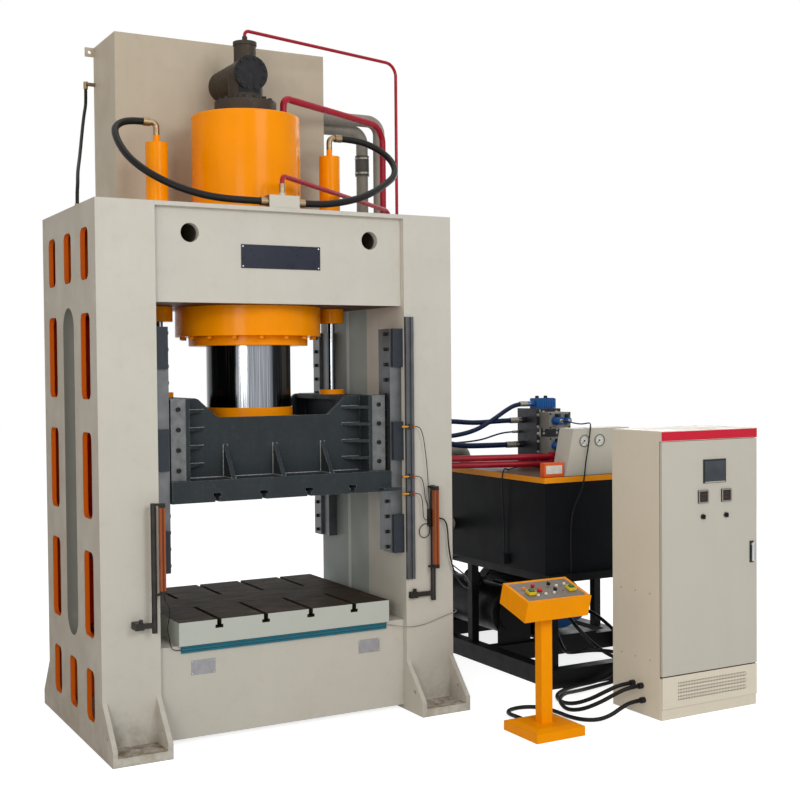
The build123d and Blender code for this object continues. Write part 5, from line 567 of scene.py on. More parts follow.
# Nodes of each material
LOOKS = {
    "frame_grey": "left_upright right_upright bed",
    "crown_grey": "crown",
    "upper_tank_grey": "upper_tank",
    "orange_enamel": "main_cylinder gland_ring return_cylinders clamp_discs",
    "console_yellow": "control_pedestal",
    "slide_slate": "slide_body",
    "charcoal": "power_tank",
    "lid_brown": "power_tank_lid",
    "black_enamel": "power_base drive_motor oil_cooler",
    "pipe_red": "pressure_pipes",
    "duct_teal": "cable_duct",
    "pump_blue": "main_pump",
    "valve_grey": "control_valves",
    "cabinet_beige": "cabinet_shell",
    "door_beige": "cabinet_door gauge_panel",
    "suction_grey": "suction_pipes",
    "bolster_steel": "bolster_plate",
    "machined_steel": "prefill_poppet pressure_gauges",
    "rail_steel": "guide_rails",
    "sensor_rail_grey": "sensor_rail",
    "shoe_steel": "guide_shoes",
    "clamp_block_navy": "rail_clamp_blocks",
    "valve_casting": "prefill_valve_body",
    "black_screw": "socket_screws",
    "manifold_black": "valve_manifold",
    "dark_steel": "motor_coupling light_curtain_stands left_gauge_needle right_gauge_needle",
    "console_panel": "console_panel",
    "plunger_chrome": "plunger",
    "rod_chrome": "return_rods",
    "chrome": "door_handle",
    "zinc_fitting": "hose_fittings",
    "curtain_orange": "light_curtains",
    "brass": "proximity_sensors",
    "black_plastic": "door_instruments left_door_selector right_door_selector switchgear_plate "
                     "mode_selector stroke_selector",
    "green_plastic": "left_start_button right_start_button",
    "red_plastic": "emergency_stop stop_button",
}
for look, names in LOOKS.items():
    for name in names.split():
        NODES[name].data.materials.clear()
        NODES[name].data.materials.append(MATERIALS[look])


# Cords, on the routes of the CAD model
def tube(name, route, diameter, material, node):
    """A cord through its route's control points, riding on the frame."""
    curve = bpy.data.curves.new(name, "CURVE")
    curve.dimensions = "3D"
    curve.bevel_depth = diameter / 2 / MM
    curve.bevel_resolution = 5
    curve.use_fill_caps = True
    spline = curve.splines.new("NURBS")
    spline.points.add(len(route) - 1)
    for point, place in zip(spline.points, route):
        point.co = (*[c / MM for c in place], 1)
    spline.order_u = 3
    spline.use_endpoint_u = True
    spline.resolution_u = 12
    curve.materials.append(MATERIALS[material])
    cord = bpy.data.objects.new(name, curve)
    scene.collection.objects.link(cord)
    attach(cord, "frame")
    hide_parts(node)
    return cord


# Material, stiffness and lay of each kind of cord
HOSE = ("hose_rubber", "medium", "hanging")
LIMP = ("hose_rubber", "limp", "hanging")
SUPPLY = ("supply_rubber", "medium", "hanging")
GREY_WIRE = ("grey_wire", "limp", "hanging")
ON_FLOOR = ("hose_rubber", "medium", "loose")

# Name, node, kind, diameter and route
CORDS = [
    ("left_return_hose", "return_hoses", LIMP, 44,
     [(-686, 0, 3756), (-770, 0, 3756), (-851, -35, 3724), (-898, -94, 3669), (-900, -208, 3564),
      (-868, -316, 3464), (-785, -415, 3372), (-660, -499, 3294), (-515, -552, 3245), (-385, -572, 3227),
      (-262, -575, 3224), (-146, -575, 3224)]),
    ("right_return_hose", "return_hoses", HOSE, 44,
     [(686, 0, 3756), (795, 0, 3756), (901, -38, 3721), (971, -109, 3655), (989, -200, 3571),
      (940, -294, 3484), (835, -367, 3416), (705, -444, 3345), (560, -508, 3286), (405, -551, 3246),
      (268, -575, 3224), (146, -575, 3224)]),
    ("level_hose", "tank_level_hose", HOSE, 22,
     [(-808, 860, 4112), (-808, 860, 4056), (-817, 837, 3991), (-846, 766, 3928), (-886, 655, 3829),
      (-932, 520, 3718), (-978, 380, 3609), (-1028, 225, 3514), (-1075, 75, 3440), (-1098, -3, 3383),
      (-1112, -56, 3336), (-1124, -84, 3275), (-1124, -84, 3210)]),
    ("supply_hose_1", "supply_hoses", SUPPLY, 34,
     [(1330, 215, 1700), (1475, 215, 1700), (1740, 270, 1700), (1960, 312, 1736), (2130, 328, 1818),
      (2235, 330, 1879), (2330, 330, 1922), (2425, 330, 1922)]),
    ("supply_hose_2", "supply_hoses", SUPPLY, 38,
     [(1330, 300, 1810), (1490, 300, 1810), (1745, 330, 1808), (1960, 350, 1786), (2200, 352, 1797),
      (2353, 352, 1797)]),
    ("supply_hose_3", "supply_hoses", SUPPLY, 13,
     [(1330, 420, 1650), (1470, 420, 1650), (1640, 420, 1642), (1800, 420, 1638), (1960, 420, 1643),
      (2080, 420, 1656), (2190, 420, 1686), (2290, 420, 1705), (2388, 420, 1705)]),
    ("supply_hose_4", "supply_hoses", SUPPLY, 42,
     [(1330, 385, 1726), (1470, 385, 1726), (1650, 384, 1665), (1840, 383, 1616), (2095, 382, 1610),
      (2343, 382, 1610)]),
    ("sensor_wire_1", "signal_wires", LIMP, 5,
     [(868, -650, 1832), (900, -650, 1832), (926, -649, 1800), (942, -648, 1732), (953, -646, 1660),
      (962, -645, 1588), (968, -644, 1516), (974, -642, 1444), (977, -642, 1374), (984, -640, 1325),
      (984, -640, 1290)]),
    ("sensor_wire_2", "signal_wires", LIMP, 5,
     [(868, -650, 1512), (898, -650, 1512), (925, -645, 1495), (943, -638, 1450), (953, -631, 1392),
      (964, -628, 1345), (978, -628, 1318), (978, -628, 1290)]),
    ("sensor_wire_3", "signal_wires", LIMP, 5,
     [(868, -650, 1402), (900, -650, 1402), (922, -648, 1372), (930, -645, 1318), (934, -642, 1266),
      (939, -639, 1240), (954, -636, 1222), (976, -636, 1222)]),
    ("wire_loop", "signal_wires", LIMP, 5,
     [(976, -634, 1200), (952, -634, 1200), (930, -632, 1190), (915, -630, 1170), (911, -629, 1146),
      (919, -628, 1122), (940, -628, 1108), (965, -628, 1110), (984, -629, 1126), (988, -630, 1154),
      (988, -630, 1180)]),
    ("left_duct_wire", "signal_wires", LIMP, 5,
     [(-684, -584, 560), (-714, -584, 560), (-742, -592, 572), (-756, -602, 604), (-766, -612, 650),
      (-780, -624, 706), (-772, -636, 758), (-770, -648, 812), (-788, -666, 852), (-812, -680, 880),
      (-812, -680, 913)]),
    ("right_duct_wire", "signal_wires", GREY_WIRE, 5,
     [(684, -584, 560), (714, -584, 560), (760, -604, 550), (820, -627, 541), (885, -631, 539),
      (950, -630, 546), (1012, -628, 560), (1072, -628, 578), (1130, -628, 592), (1180, -624, 600),
      (1206, -602, 603), (1216, -568, 604), (1214, -530, 604), (1198, -500, 604), (1168, -500, 604)]),
    ("curtain_cable", "signal_wires", LIMP, 10,
     [(1034, -642, 1230), (1078, -642, 1230), (1108, -642, 1196), (1117, -643, 1140), (1121, -643, 1060),
      (1135, -642, 970), (1162, -638, 885), (1205, -618, 815), (1270, -580, 760), (1350, -510, 724),
      (1440, -400, 705), (1522, -282, 694), (1598, -158, 688), (1662, -26, 690), (1712, 110, 697),
      (1752, 250, 707), (1786, 390, 720), (1816, 510, 735), (1862, 600, 742), (1934, 600, 742)]),
    ("gauge_cable", "signal_wires", LIMP, 10,
     [(2486, -26, 1800), (2486, -110, 1800), (2478, -215, 1788), (2454, -325, 1788), (2420, -430, 1800),
      (2372, -530, 1806), (2328, -588, 1780), (2312, -592, 1700), (2298, -590, 1610), (2280, -592, 1530),
      (2262, -604, 1456), (2244, -612, 1384), (2214, -606, 1310), (2176, -600, 1240), (2150, -600, 1160),
      (2140, -602, 1060), (2136, -604, 960), (2134, -612, 860), (2134, -612, 767)]),
    ("level_cable", "signal_wires", LIMP, 10,
     [(2413, 250, 1462), (2350, 250, 1462), (2240, 200, 1451), (2130, 120, 1449), (2040, 30, 1450),
      (1985, -45, 1464), (1938, -85, 1476), (1905, -107, 1440), (1899, -108, 1380), (1902, -108, 1290),
      (1908, -108, 1190), (1914, -108, 1080), (1917, -108, 970), (1917, -108, 860)]),
    ("floor_cable_1", "floor_cables", ON_FLOOR, 26,
     [(2020, -1385, 186), (1940, -1385, 186), (1860, -1350, 150), (1790, -1275, 90), (1748, -1160, 38),
      (1745, -1030, 15), (1800, -880, 15), (1930, -775, 15), (2100, -722, 15), (2270, -722, 20),
      (2410, -735, 62), (2520, -715, 150), (2600, -620, 222), (2655, -430, 285), (2680, -220, 345),
      (2680, -70, 370), (2680, 70, 370)]),
    ("floor_cable_2", "floor_cables", ON_FLOOR, 26,
     [(2020, -1464, 184), (1940, -1464, 184), (1862, -1435, 150), (1780, -1385, 95), (1700, -1300, 40),
      (1664, -1180, 15), (1700, -1050, 45), (1810, -960, 52), (1950, -890, 30), (2080, -830, 15),
      (2230, -800, 16), (2380, -800, 28), (2510, -806, 75), (2605, -805, 165), (2645, -800, 290),
      (2653, -796, 430), (2651, -792, 600), (2650, -790, 775), (2650, -702, 865), (2650, -585, 865)]),
    ("floor_cable_3", "floor_cables", ON_FLOOR, 26,
     [(2020, -1484, 97), (1945, -1484, 97), (1868, -1480, 70), (1790, -1474, 32), (1700, -1462, 14),
      (1622, -1410, 14), (1590, -1310, 14), (1592, -1200, 14), (1583, -1100, 14), (1546, -1020, 14),
      (1476, -980, 14), (1396, -980, 15), (1326, -1020, 18), (1286, -1090, 22), (1284, -1194, 28),
      (1284, -1294.5, 28)]),
    ("floor_cable_4", "floor_cables", ON_FLOOR, 26,
     [(2640, -1144, 150), (2640, -1040, 150), (2605, -930, 147), (2530, -835, 145), (2425, -765, 165),
      (2315, -735, 225), (2225, -690, 310), (2190, -600, 385), (2215, -475, 430), (2275, -325, 448),
      (2350, -150, 455), (2415, 40, 457), (2442, 235, 455), (2440, 420, 455), (2440, 590, 455)]),
    ("floor_cable_5", "floor_cables", ON_FLOOR, 26,
     [(2520, -1144, 190), (2520, -1050, 190), (2492, -955, 198), (2432, -868, 214), (2345, -805, 236),
      (2250, -765, 250), (2175, -700, 240), (2140, -610, 215), (2160, -505, 195), (2225, -370, 215),
      (2300, -200, 275), (2375, -10, 345), (2425, 190, 380), (2440, 390, 385), (2440, 590, 385)]),
]


for name, node, (material, stiffness, lay), diameter, route in CORDS:
    hose = tube(name, route, diameter, material, node)


# Mesh makers for the pieces that the CAD model leaves to the looks
def solid(name, material, mesh_maker, body="frame", bevel=0.0):
    """Mesh object from a bmesh maker, riding on a body."""
    mesh = bpy.data.meshes.new(name)
    bm = bmesh.new()
    mesh_maker(bm)
    bm.to_mesh(mesh)
    bm.free()
    mesh.shade_smooth()
    mesh.set_sharp_from_angle(angle=radians(32))
    mesh.materials.append(MATERIALS[material])
    obj = bpy.data.objects.new(name, mesh)
    scene.collection.objects.link(obj)
    if bevel:
        edge = obj.modifiers.new("edge", "BEVEL")
        edge.width = bevel / MM
        edge.segments = 2
        edge.limit_method = "ANGLE"
    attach(obj, body)


def piece(material, body="frame", bevel=0.0):
    """Make a piece from the function that follows, under its name."""
    def build(mesh_maker):
        solid(mesh_maker.__name__, material, mesh_maker, body, bevel)
        return mesh_maker

    return build


def add_box(bm, low, high):
    """Box between two corners."""
    made = bmesh.ops.create_cube(bm, size=1)["verts"]
    bmesh.ops.scale(bm, vec=[(b - a) / MM for a, b in zip(low, high)], verts=made)
    bmesh.ops.translate(bm, vec=[(a + b) / 2 / MM for a, b in zip(low, high)], verts=made)


def add_rings(bm, place, direction, outline, segments, turned=0.0):
    """Rings of vertices along a direction, from radius and height pairs."""
    turn = Vector(direction).to_track_quat("Z", "Y").to_matrix()
    rings = []
    for radius, height in outline:
        angles = [turned + 2 * pi * step / segments for step in range(segments)]
        spots = [turn @ Vector((radius * cos(angle), radius * sin(angle), height)) for angle in angles]
        rings.append([bm.verts.new((spot + Vector(place)) / MM) for spot in spots])
    return rings


def join_rings(bm, pairs):
    """Faces between rings that follow one another."""
    for low, high in pairs:
        for step in range(len(low)):
            after = (step + 1) % len(low)
            bm.faces.new((low[step], low[after], high[after], high[step]))


def add_turned(bm, place, direction, outline, segments=24):
    """Turned solid from its outline. Six segments make a hexagon."""
    rings = add_rings(bm, place, direction, outline, segments)
    join_rings(bm, zip(rings, rings[1:]))
    bm.faces.new(rings[0][::-1])
    bm.faces.new(rings[-1])


def add_ring(bm, place, direction, inner, outer, height, segments=40, turned=0.0):
    """Flat ring with rounded shoulders. Four segments make a square frame."""
    outline = [(inner, 0), (outer, 0), (outer, height * 0.7), (outer * 0.98, height), (inner * 1.01, height),
               (inner, height * 0.8)]
    rings = add_rings(bm, place, direction, outline, segments, turned)
    join_rings(bm, zip(rings, rings[1:] + rings[:1]))


def add_screw(bm, place, direction, radius, height):
    """Cap screw with its socket."""
    inner = radius * 0.55
    outline = [(radius, 0), (radius, height * 0.85), (radius * 0.9, height), (inner, height),
               (inner * 0.9, height * 0.4)]
    add_turned(bm, place, direction, outline, 16)


def add_hex(bm, place, direction, radius, height):
    """Hexagon head with a turned crown and a washer."""
    washer = height * 0.12
    add_turned(bm, place, direction, [(radius * 1.15, 0), (radius * 1.15, washer)], 20)
    add_turned(bm, place, direction, [(radius, washer), (radius, height * 0.85), (radius * 0.85, height)], 6)


def add_rivet(bm, place, direction, radius):
    dome = ((1, 0), (0.92, 0.3), (0.6, 0.5), (0.15, 0.6))
    add_turned(bm, place, direction, [(radius * part, radius * rise) for part, rise in dome], 12)


def add_bead(bm, start, end, radius, wave):
    """Weld bead: a lumpy rod laid along a seam."""
    a, b = Vector(start), Vector(end)
    length = (b - a).length
    steps = max(4, int(length / wave))
    outline = [(radius * (0.75 + 0.25 * (step % 2)), length * step / steps) for step in range(steps + 1)]
    add_turned(bm, a, b - a, outline, 8)


def add_ferrule(bm, place, direction, radius, length):
    """Crimped hose end with its hexagon."""
    crimps = 6
    waist = radius * 0.93
    outline = []
    for step in range(crimps):
        near, far, end = (length * (step + part) / crimps for part in (0, 0.55, 1))
        outline += [(radius, near), (radius, far), (waist, far + 0.5), (waist, end)]
    add_turned(bm, place, direction, outline, 24)
    add_turned(bm, Vector(place) - Vector(direction) * length * 0.35, direction,
               [(radius * 1.12, 0), (radius * 1.12, length * 0.33)], 6)


def on_console(place):
    """Place on the console's tilted panel."""
    u, v = place
    return (CONSOLE_AT[0] + u, CONSOLE_AT[1] + v * cos(CONSOLE_TILT), CONSOLE_AT[2] + v * sin(CONSOLE_TILT))


FORWARD = (0, -1, 0)


# Plates on the front of the crown and the bed
def bare_plate(name, material, x, z, thick, rivet_inset):
    """Bare plate on the front face, with a rivet in each corner."""
    front = -FACE_Y - thick

    def maker(bm):
        add_box(bm, (x[0], front, z[0]), (x[1], -FACE_Y, z[1]))

    def rivets(bm):
        for spot_x in (x[0] + rivet_inset, x[1] - rivet_inset):
            for spot_z in (z[0] + rivet_inset, z[1] - rivet_inset):
                add_rivet(bm, (spot_x, front, spot_z), FORWARD, rivet_inset * 0.45)

    solid(name, material, maker, bevel=min(1.5, thick / 3))
    solid(name + "_rivets", "chrome", rivets)


bare_plate("name_plate", "plate_navy", (-275, 248), (CROWN_FOOT + 212, CROWN_FOOT + 355), 4, 12)
bare_plate("left_data_plate", "data_plate", (-622, -470), (BED_TOP - 182, BED_TOP - 94), 2, 8)
bare_plate("right_data_plate", "data_plate", (489, 640), (BED_TOP - 185, BED_TOP - 99), 2, 8)

# Slide: shoe screws and weld seams
SHOE_MIDDLE_X = 669
SHOE_SCREWS = 4
WEB_Y = 415
WEB_HALF = 580
TOE_XS = (-328, 0, 328)
TOE_Y = 553
TOE_EDGE = 13               # a gusset's middle to its side
RIB_X = (465, 590)
RIB_ZS = [SLIDE_Z + 213 + 108 * step for step in range(4)]


@piece("black_screw", "slide")
def shoe_screws(bm):
    """Screws down the front of each guide shoe."""
    pitch = (SHOE_HIGH[2] - SHOE_LOW[2]) / SHOE_SCREWS
    for side in (-1, 1):
        for front in (-1, 1):
            for step in range(SHOE_SCREWS):
                place = (side * SHOE_MIDDLE_X, front * SHOE_HIGH[1], SHOE_LOW[2] + pitch * (step + 0.5))
                add_screw(bm, place, (0, front, 0), 14, 10)


@piece("slide_weld", "slide")
def slide_welds(bm):
    """Weld beads along the gussets, ribs and webs of the slide's front and rear."""
    base = SHOE_LOW[2] + 2
    for side in (-1, 1):
        web = side * WEB_Y
        for x in TOE_XS:
            for edge in (x - TOE_EDGE, x + TOE_EDGE):
                add_bead(bm, (edge, side * TOE_Y, base), (edge, web, base), 5, 9)
                add_bead(bm, (edge, web, base), (edge, web, base + 198), 5, 9)
        for end in (-1, 1):
            for z in RIB_ZS:
                add_bead(bm, (end * RIB_X[0], web, z + 8), (end * RIB_X[1], web, z + 8), 4, 9)
        add_bead(bm, (-WEB_HALF, web, base), (WEB_HALF, web, base), 5, 11)


# Prefill valve: screws of its front cover
@piece("black_screw")
def valve_cover_screws(bm):
    count, circle = 12, 96
    for step in range(count):
        angle = 2 * pi * (step + 0.5) / count
        add_screw(bm, (circle * cos(angle), COVER_FACE, VALVE_AXIS_Z + circle * sin(angle)), FORWARD, 9, 8)


# Supply hoses: crimped ends at the manifold and at the port block
SUPPLY_LINES = [(diameter, route) for _, node, _, diameter, route in CORDS if node == "supply_hoses"]
SUPPLY_CRIMPS = (70, 75, 40, 80)
PORT_CRIMP = 60
FERRULE_WALL = 4


@piece("silver_plate")
def supply_ferrules(bm):
    for (diameter, route), length in zip(SUPPLY_LINES, SUPPLY_CRIMPS):
        x, y, z = route[-1]
        add_ferrule(bm, (x + 2, y, z), (-1, 0, 0), diameter / 2 + FERRULE_WALL, length)


@piece("silver_plate")
def port_ferrules(bm):
    for diameter, route in SUPPLY_LINES:
        x, y, z = route[0]
        add_ferrule(bm, (x - 2, y, z), (1, 0, 0), diameter / 2 + FERRULE_WALL, PORT_CRIMP)


# Valves on the manifold
STRIP_PLUGS = (58, 118, 198, 258, 308, 398)     # above the tank's lid
FACE_PLUGS = (40, 88, 218, 258, 288, 418)
TOP_VALVE_Y = 330
TOP_VALVE_TOP = MANIFOLD_TOP + 72
COIL_SPOTS = [(VALVE_X + aside, z, radius, length) for z in VALVE_ZS for aside, radius, length in COILS]


@piece("silver_plate", bevel=1)
def valve_plate(bm):
    """Silver sub-plate between the manifold and the pilot valves."""
    add_box(bm, (MANIFOLD_LEFT + 23, MANIFOLD_FRONT - 6, LID_TOP + 24),
            (MANIFOLD_LEFT + 36, MANIFOLD_FRONT - 0.5, MANIFOLD_TOP - 6))


@piece("silver_plate")
def manifold_plugs(bm):
    """Hexagon plugs in the drilled face of the manifold's strip, and round its front."""
    for rise in STRIP_PLUGS:
        add_hex(bm, (MANIFOLD_LEFT + 1, STRIP_FACE, LID_TOP + rise), FORWARD, 11, 9)
    for rise in FACE_PLUGS:
        for x in (MANIFOLD_LEFT + 67, MANIFOLD_LEFT + 187):
            add_hex(bm, (x, MANIFOLD_FRONT, LID_TOP + rise), FORWARD, 10, 8)


@piece("silver_plate")
def coil_ends(bm):
    """Nuts on the ends of the valve coils."""
    for x, z, radius, length in COIL_SPOTS:
        outline = [(radius * 0.55, 0), (radius * 0.55, 5), (radius * 0.4, 8)]
        add_turned(bm, (x, VALVE_FACE - length, z), FORWARD, outline, 6)


@piece("black_plastic", bevel=2)
def coil_plugs(bm):
    """Connector housings on the valve coils."""
    for x, z, radius, length in COIL_SPOTS:
        add_box(bm, (x - 13, VALVE_FACE - length * 0.75, z + radius - 2),
                (x + 13, VALVE_FACE - length * 0.25, z + radius + 24))


@piece("data_plate")
def valve_labels(bm):
    """Bare pale plates on the valve bodies."""
    for z in VALVE_ZS:
        add_box(bm, (VALVE_X - 13, VALVE_FACE - 1.4, z - 26), (VALVE_X + 15, VALVE_FACE, z + 26))


@piece("pump_blue", bevel=2)
def top_valve_ribs(bm):
    """Cooling ribs round the top valve's coil."""
    count, pitch, thick = 8, 22, 10
    for step in range(count):
        x = VALVE_X - 47 + pitch * step
        add_box(bm, (x, TOP_VALVE_Y - 49, MANIFOLD_TOP + 2),
                (x + thick, TOP_VALVE_Y + 49, TOP_VALVE_TOP + 6))


@piece("black_plastic")
def top_valve_caps(bm):
    """Dark plugs on the top valve."""
    for x in (VALVE_X - 17, VALVE_X + 63):
        outline = [(15, 0), (15, 18), (12, 24), (6, 25)]
        add_turned(bm, (x, TOP_VALVE_Y, TOP_VALVE_TOP), (0, 0, 1), outline, 20)


@piece("black_screw")
def valve_body_screws(bm):
    """A screw in each corner of the valve bodies' fronts."""
    for z in VALVE_ZS:
        for x in (VALVE_X - 89, VALVE_X + 89):
            for rise in (-51, 51):
                add_screw(bm, (x, VALVE_FACE, z + rise), FORWARD, 7, 6)


# Suction pipe: band clamps round its rubber sleeve, each with its screw block
@piece("silver_plate")
def sleeve_clamps(bm):
    inner, outer, width = 52, 55, 12
    for z in (SLEEVE_Z[0] + 20, SLEEVE_Z[1] - 22):
        add_ring(bm, (SLEEVE_X, SLEEVE_Y, z - width / 2), (0, 0, 1), inner, outer, width)
        add_box(bm, (SLEEVE_X - 12, SLEEVE_Y - 59, z - 7), (SLEEVE_X + 12, SLEEVE_Y - 50, z + 7))


# Gauges
GAUGE_XS = (PANEL_LEFT + 161, PANEL_LEFT + 294)
GAUGE_Z = LID_TOP + 242
DIAL_Y = GAUGE_FRONT + 9
DIAL_R = 38
DIAL_T = 0.8


@piece("white_plastic")
def gauge_dials(bm):
    """White dial discs."""
    for x in GAUGE_XS:
        add_turned(bm, (x, DIAL_Y, GAUGE_Z), FORWARD, [(DIAL_R, 0), (DIAL_R, DIAL_T)], 40)


@piece("black_plastic")
def gauge_marks(bm):
    """Plain marks round the dials, every other one shorter."""
    y, outer = DIAL_Y - DIAL_T - 0.4, 34
    for x in GAUGE_XS:
        for step in range(11):
            angle = radians(225 - 27 * step)
            inner = 30 if step % 2 else 27
            start, end = (Vector((x + r * cos(angle), y, GAUGE_Z + r * sin(angle))) for r in (inner, outer))
            add_turned(bm, start, end - start, [(1.1, 0), (1.1, (end - start).length)], 6)


@piece("chrome")
def gauge_rims(bm):
    """Polished rims that roll over the dials."""
    for x in GAUGE_XS:
        add_ring(bm, (x, DIAL_Y, GAUGE_Z), FORWARD, DIAL_R + 1, DIAL_R + 5, 9)


# Indicator box on the lid's corner: its bare label
@piece("white_plastic", bevel=0.3)
def box_label(bm):
    add_box(bm, (BOX_X[0] + 15, BOX_FACE - 1.2, LID_TOP + 20), (BOX_X[1] - 15, BOX_FACE, LID_HIGH[2] - 18))


# Cabinet
SCREEN_X = (CAB_X[0] + 348, CAB_X[0] + 518)
SCREEN_Z = CAB_TOP - 262    # middle of the operator screen
METER_XS = (CAB_X[0] + 336, CAB_X[0] + 530)
METER_Z = CAB_TOP - 420
SELECTOR_Z = CAB_TOP - 547
LOUVRE_X = CAB_X[0] + 130
LOUVRE_Z = 118


@piece("header_red", bevel=0.4)
def header_strip(bm):
    """Plain red strip over the door."""
    add_box(bm, (CAB_X[0] + 1, DOOR_FACE - 1.5, CAB_TOP - 59), (CAB_X[1] - 1, DOOR_FACE, CAB_TOP - 3))


@piece("black_plastic")
def louvre_slits(bm):
    """Rows of short slits that stand in pairs across the lower panel."""
    rows, columns, width, half_height = 6, 44, 5, 4
    for row in range(rows):
        z = LOUVRE_Z + 21 * row
        for step in range(columns):
            x = LOUVRE_X + 13 * step
            add_box(bm, (x, DOOR_FACE - 0.6, z - half_height), (x + width, DOOR_FACE + 0.4, z + half_height))


@piece("screen_glass", "door", bevel=0.5)
def screen_glass(bm):
    add_box(bm, (SCREEN_X[0], DOOR_FACE - 10, SCREEN_Z - 62), (SCREEN_X[1], DOOR_FACE - 8.6, SCREEN_Z + 65))


@piece("silver_plate", "door")
def screen_sill(bm):
    """Pale key strip under the picture."""
    add_box(bm, (SCREEN_X[0], DOOR_FACE - 9.8, SCREEN_Z - 73), (SCREEN_X[1], DOOR_FACE - 8.8, SCREEN_Z - 65))


@piece("clear_cover", "door", bevel=1)
def meter_frames(bm):
    """Clear covers over the two panel meters, each of four bars."""
    out, inner = 41, 33
    bars = ((-out, -inner, -out, out), (inner, out, -out, out),
            (-inner, inner, inner, out), (-inner, inner, -out, -inner))
    for x in METER_XS:
        for left, right, low, high in bars:
            add_box(bm, (x + left, DOOR_FACE - 12, METER_Z + low),
                    (x + right, DOOR_FACE - 8, METER_Z + high))


@piece("amber_window", "door", bevel=0.5)
def meter_windows(bm):
    """Two dim windows in each meter, for its rows of figures."""
    for x in METER_XS:
        for z in (METER_Z + 14, METER_Z - 12):
            add_box(bm, (x - 22, DOOR_FACE - 9.2, z - 7), (x + 22, DOOR_FACE - 8, z + 7))


@piece("silver_plate", "door")
def selector_plates(bm):
    """Bare ring plates behind the two selectors."""
    for x in METER_XS:
        add_ring(bm, (x, DOOR_FACE, SELECTOR_Z), FORWARD, 15.6, 21, 1.5, 32)


@piece("data_plate")
def side_rivets(bm):
    """Small rivets in two rows across the left side, where the inner rails are fixed."""
    for back in (114, 254, 394):
        for z in (360, 780):
            add_rivet(bm, (CAB_X[0], DOOR_FACE + back, z), (-1, 0, 0), 5)


# Console
START_BUTTONS = ((-136, -25), (156, -26))
KNOBS = (((-80, 42), 13), ((-66, -14), 18), ((46, 55), 13), ((42, -22), 13))


@piece("yellow_plastic", bevel=1)
def start_guards(bm):
    """Square yellow guards round the two start buttons."""
    for place in START_BUTTONS:
        add_ring(bm, on_console(place), CONSOLE_UP, 29, 35, 19, segments=4, turned=pi / 4)


@piece("silver_plate")
def button_rings(bm):
    """Metal collars under the small controls."""
    caps = [(CONSOLE_LAMP, LAMP_R)] + [(place, CAP_R) for place in (*CONSOLE_WHITE, CONSOLE_DARK)]
    for place, radius in (*caps, *KNOBS):
        add_ring(bm, on_console(place), CONSOLE_UP, radius, radius + 4, 1.6, 28)


# Sensors: plugs on the cable ends
@piece("red_plastic")
def sensor_plugs(bm):
    outline = [(9.5, 0), (9.5, 10), (7, 14), (5, 22)]
    for rise in (-20, 90, 410):
        add_turned(bm, (SENSOR_END - 16, SENSOR_Y, SLIDE_Z + rise), (1, 0, 0), outline, 20)


# Stage, light and camera
FLOOR_COLOR = (0.75, 0.74, 0.72)
FLOOR_GLOW = 0.8
FLOOR_SHADOW = (0.55, 0.55, 0.55)
SKY_COLOR = (0.96, 0.98, 1.0)
WARM = (1.0, 0.80, 0.58)
SENSOR_W = 36


def floor_material():
    """White to the eye, with the object's shadow on it."""
    s = Shader("floor_white")
    s.done(FLOOR_COLOR, 0.9)
    glow = s.node("Emission", Strength=FLOOR_GLOW)
    shadow = s.node("BsdfDiffuse", FLOOR_SHADOW)
    pale = s.node("AddShader", glow.outputs[0], shadow.outputs[0])
    s.mixed(s.bsdf, pale, s.tree.nodes["Material Output"])
    return MATERIALS["floor_white"]


def stage_floor():
    mesh = bpy.data.meshes.new("floor")
    bm = bmesh.new()
    bmesh.ops.create_grid(bm, x_segments=1, y_segments=1, size=40)
    bm.to_mesh(mesh)
    bm.free()
    mesh.materials.append(floor_material())
    floor = bpy.data.objects.new("floor", mesh)
    floor.location.z = -0.001
    scene.collection.objects.link(floor)


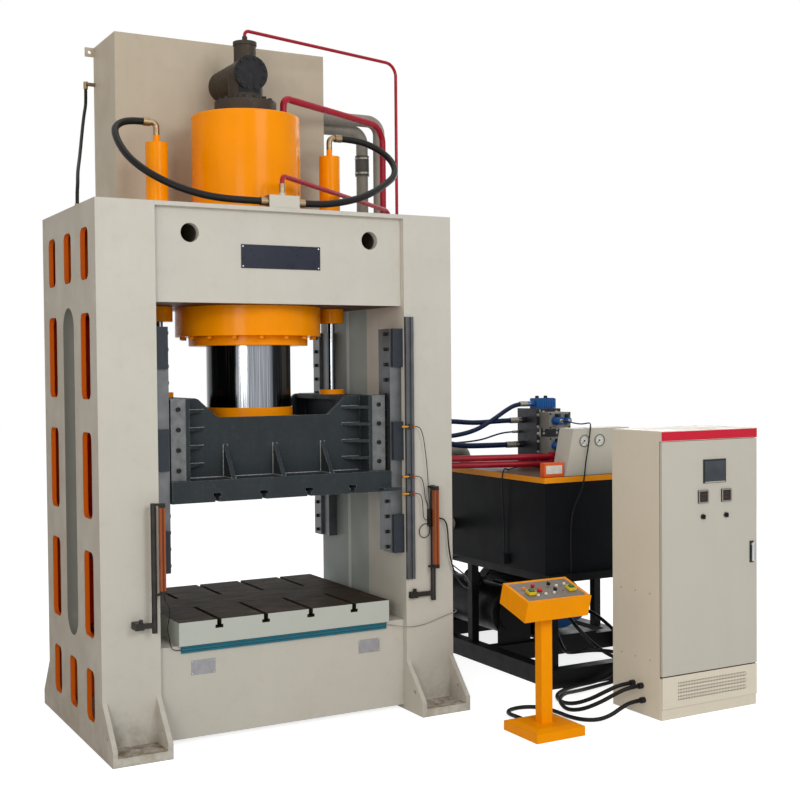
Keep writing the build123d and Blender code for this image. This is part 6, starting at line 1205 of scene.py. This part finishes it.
def world_light(strength):
    world = bpy.data.worlds.new("studio")
    scene.world = world
    world.use_nodes = True
    nodes = Nodes(world.node_tree)
    sky = nodes.tree.nodes["Background"]
    nodes.put(sky.inputs["Color"], SKY_COLOR)
    nodes.put(sky.inputs["Strength"], strength)
    white = nodes.node("Background", (1, 1, 1))
    nodes.mixed(sky, white, nodes.tree.nodes["World Output"])


def area_light(name, place, target, size, power, color=(1, 1, 1)):
    """Rectangular lamp, with its place, target and size in metres."""
    data = bpy.data.lights.new(name, "AREA")
    data.shape = "RECTANGLE"
    data.size, data.size_y = size
    data.energy = power
    data.color = color
    lamp = bpy.data.objects.new(name, data)
    lamp.location = place
    lamp.rotation_mode = "QUATERNION"
    lamp.rotation_quaternion = (Vector(target) - Vector(place)).to_track_quat("-Z", "Y")
    scene.collection.objects.link(lamp)


def main_camera(place, yaw, pitch, roll, focal_px, width_px):
    """Camera of the photograph, from its fitted place and its turn in degrees."""
    yaw, pitch, roll = radians(yaw), radians(pitch), radians(roll)
    ahead = Vector((sin(yaw) * cos(pitch), cos(yaw) * cos(pitch), sin(pitch)))
    level = Vector((cos(yaw), -sin(yaw), 0))
    upright = level.cross(ahead)
    across = cos(roll) * level + sin(roll) * upright
    up = cos(roll) * upright - sin(roll) * level
    data = bpy.data.cameras.new("photo")
    data.sensor_width = SENSOR_W
    data.lens = focal_px / width_px * SENSOR_W
    data.clip_end = 100
    camera = bpy.data.objects.new("photo", data)
    camera.rotation_mode = "QUATERNION"
    camera.rotation_quaternion = Matrix((across, up, -ahead)).transposed().to_quaternion()
    camera.location = [c / MM for c in place]
    scene.collection.objects.link(camera)
    scene.camera = camera


stage_floor()
world_light(0.42)
area_light("key", (1.8, -10.5, 6.0), (0.4, 0, 1.6), (4, 3.5), 350)
area_light("camera_fill", (-6.0, -8.5, 3.5), (0.4, 0, 1.6), (3, 3), 235, (1.0, 0.98, 0.94))
area_light("left_fill", (-9.5, -4.0, 4.0), (-0.6, 0, 1.8), (5, 5), 110, WARM)
area_light("rear_fill", (10.0, 6.0, 5.0), (1.0, 0, 1.6), (5, 5), 200)
area_light("top", (0.5, -1.0, 9.0), (0.5, 0, 0), (6, 6), 110)
main_camera((-3093.6, -7615.8, 2213.5), 28.99, -1.51, -0.51, 1251.2, 800)
scene.view_settings.view_transform = "Standard"
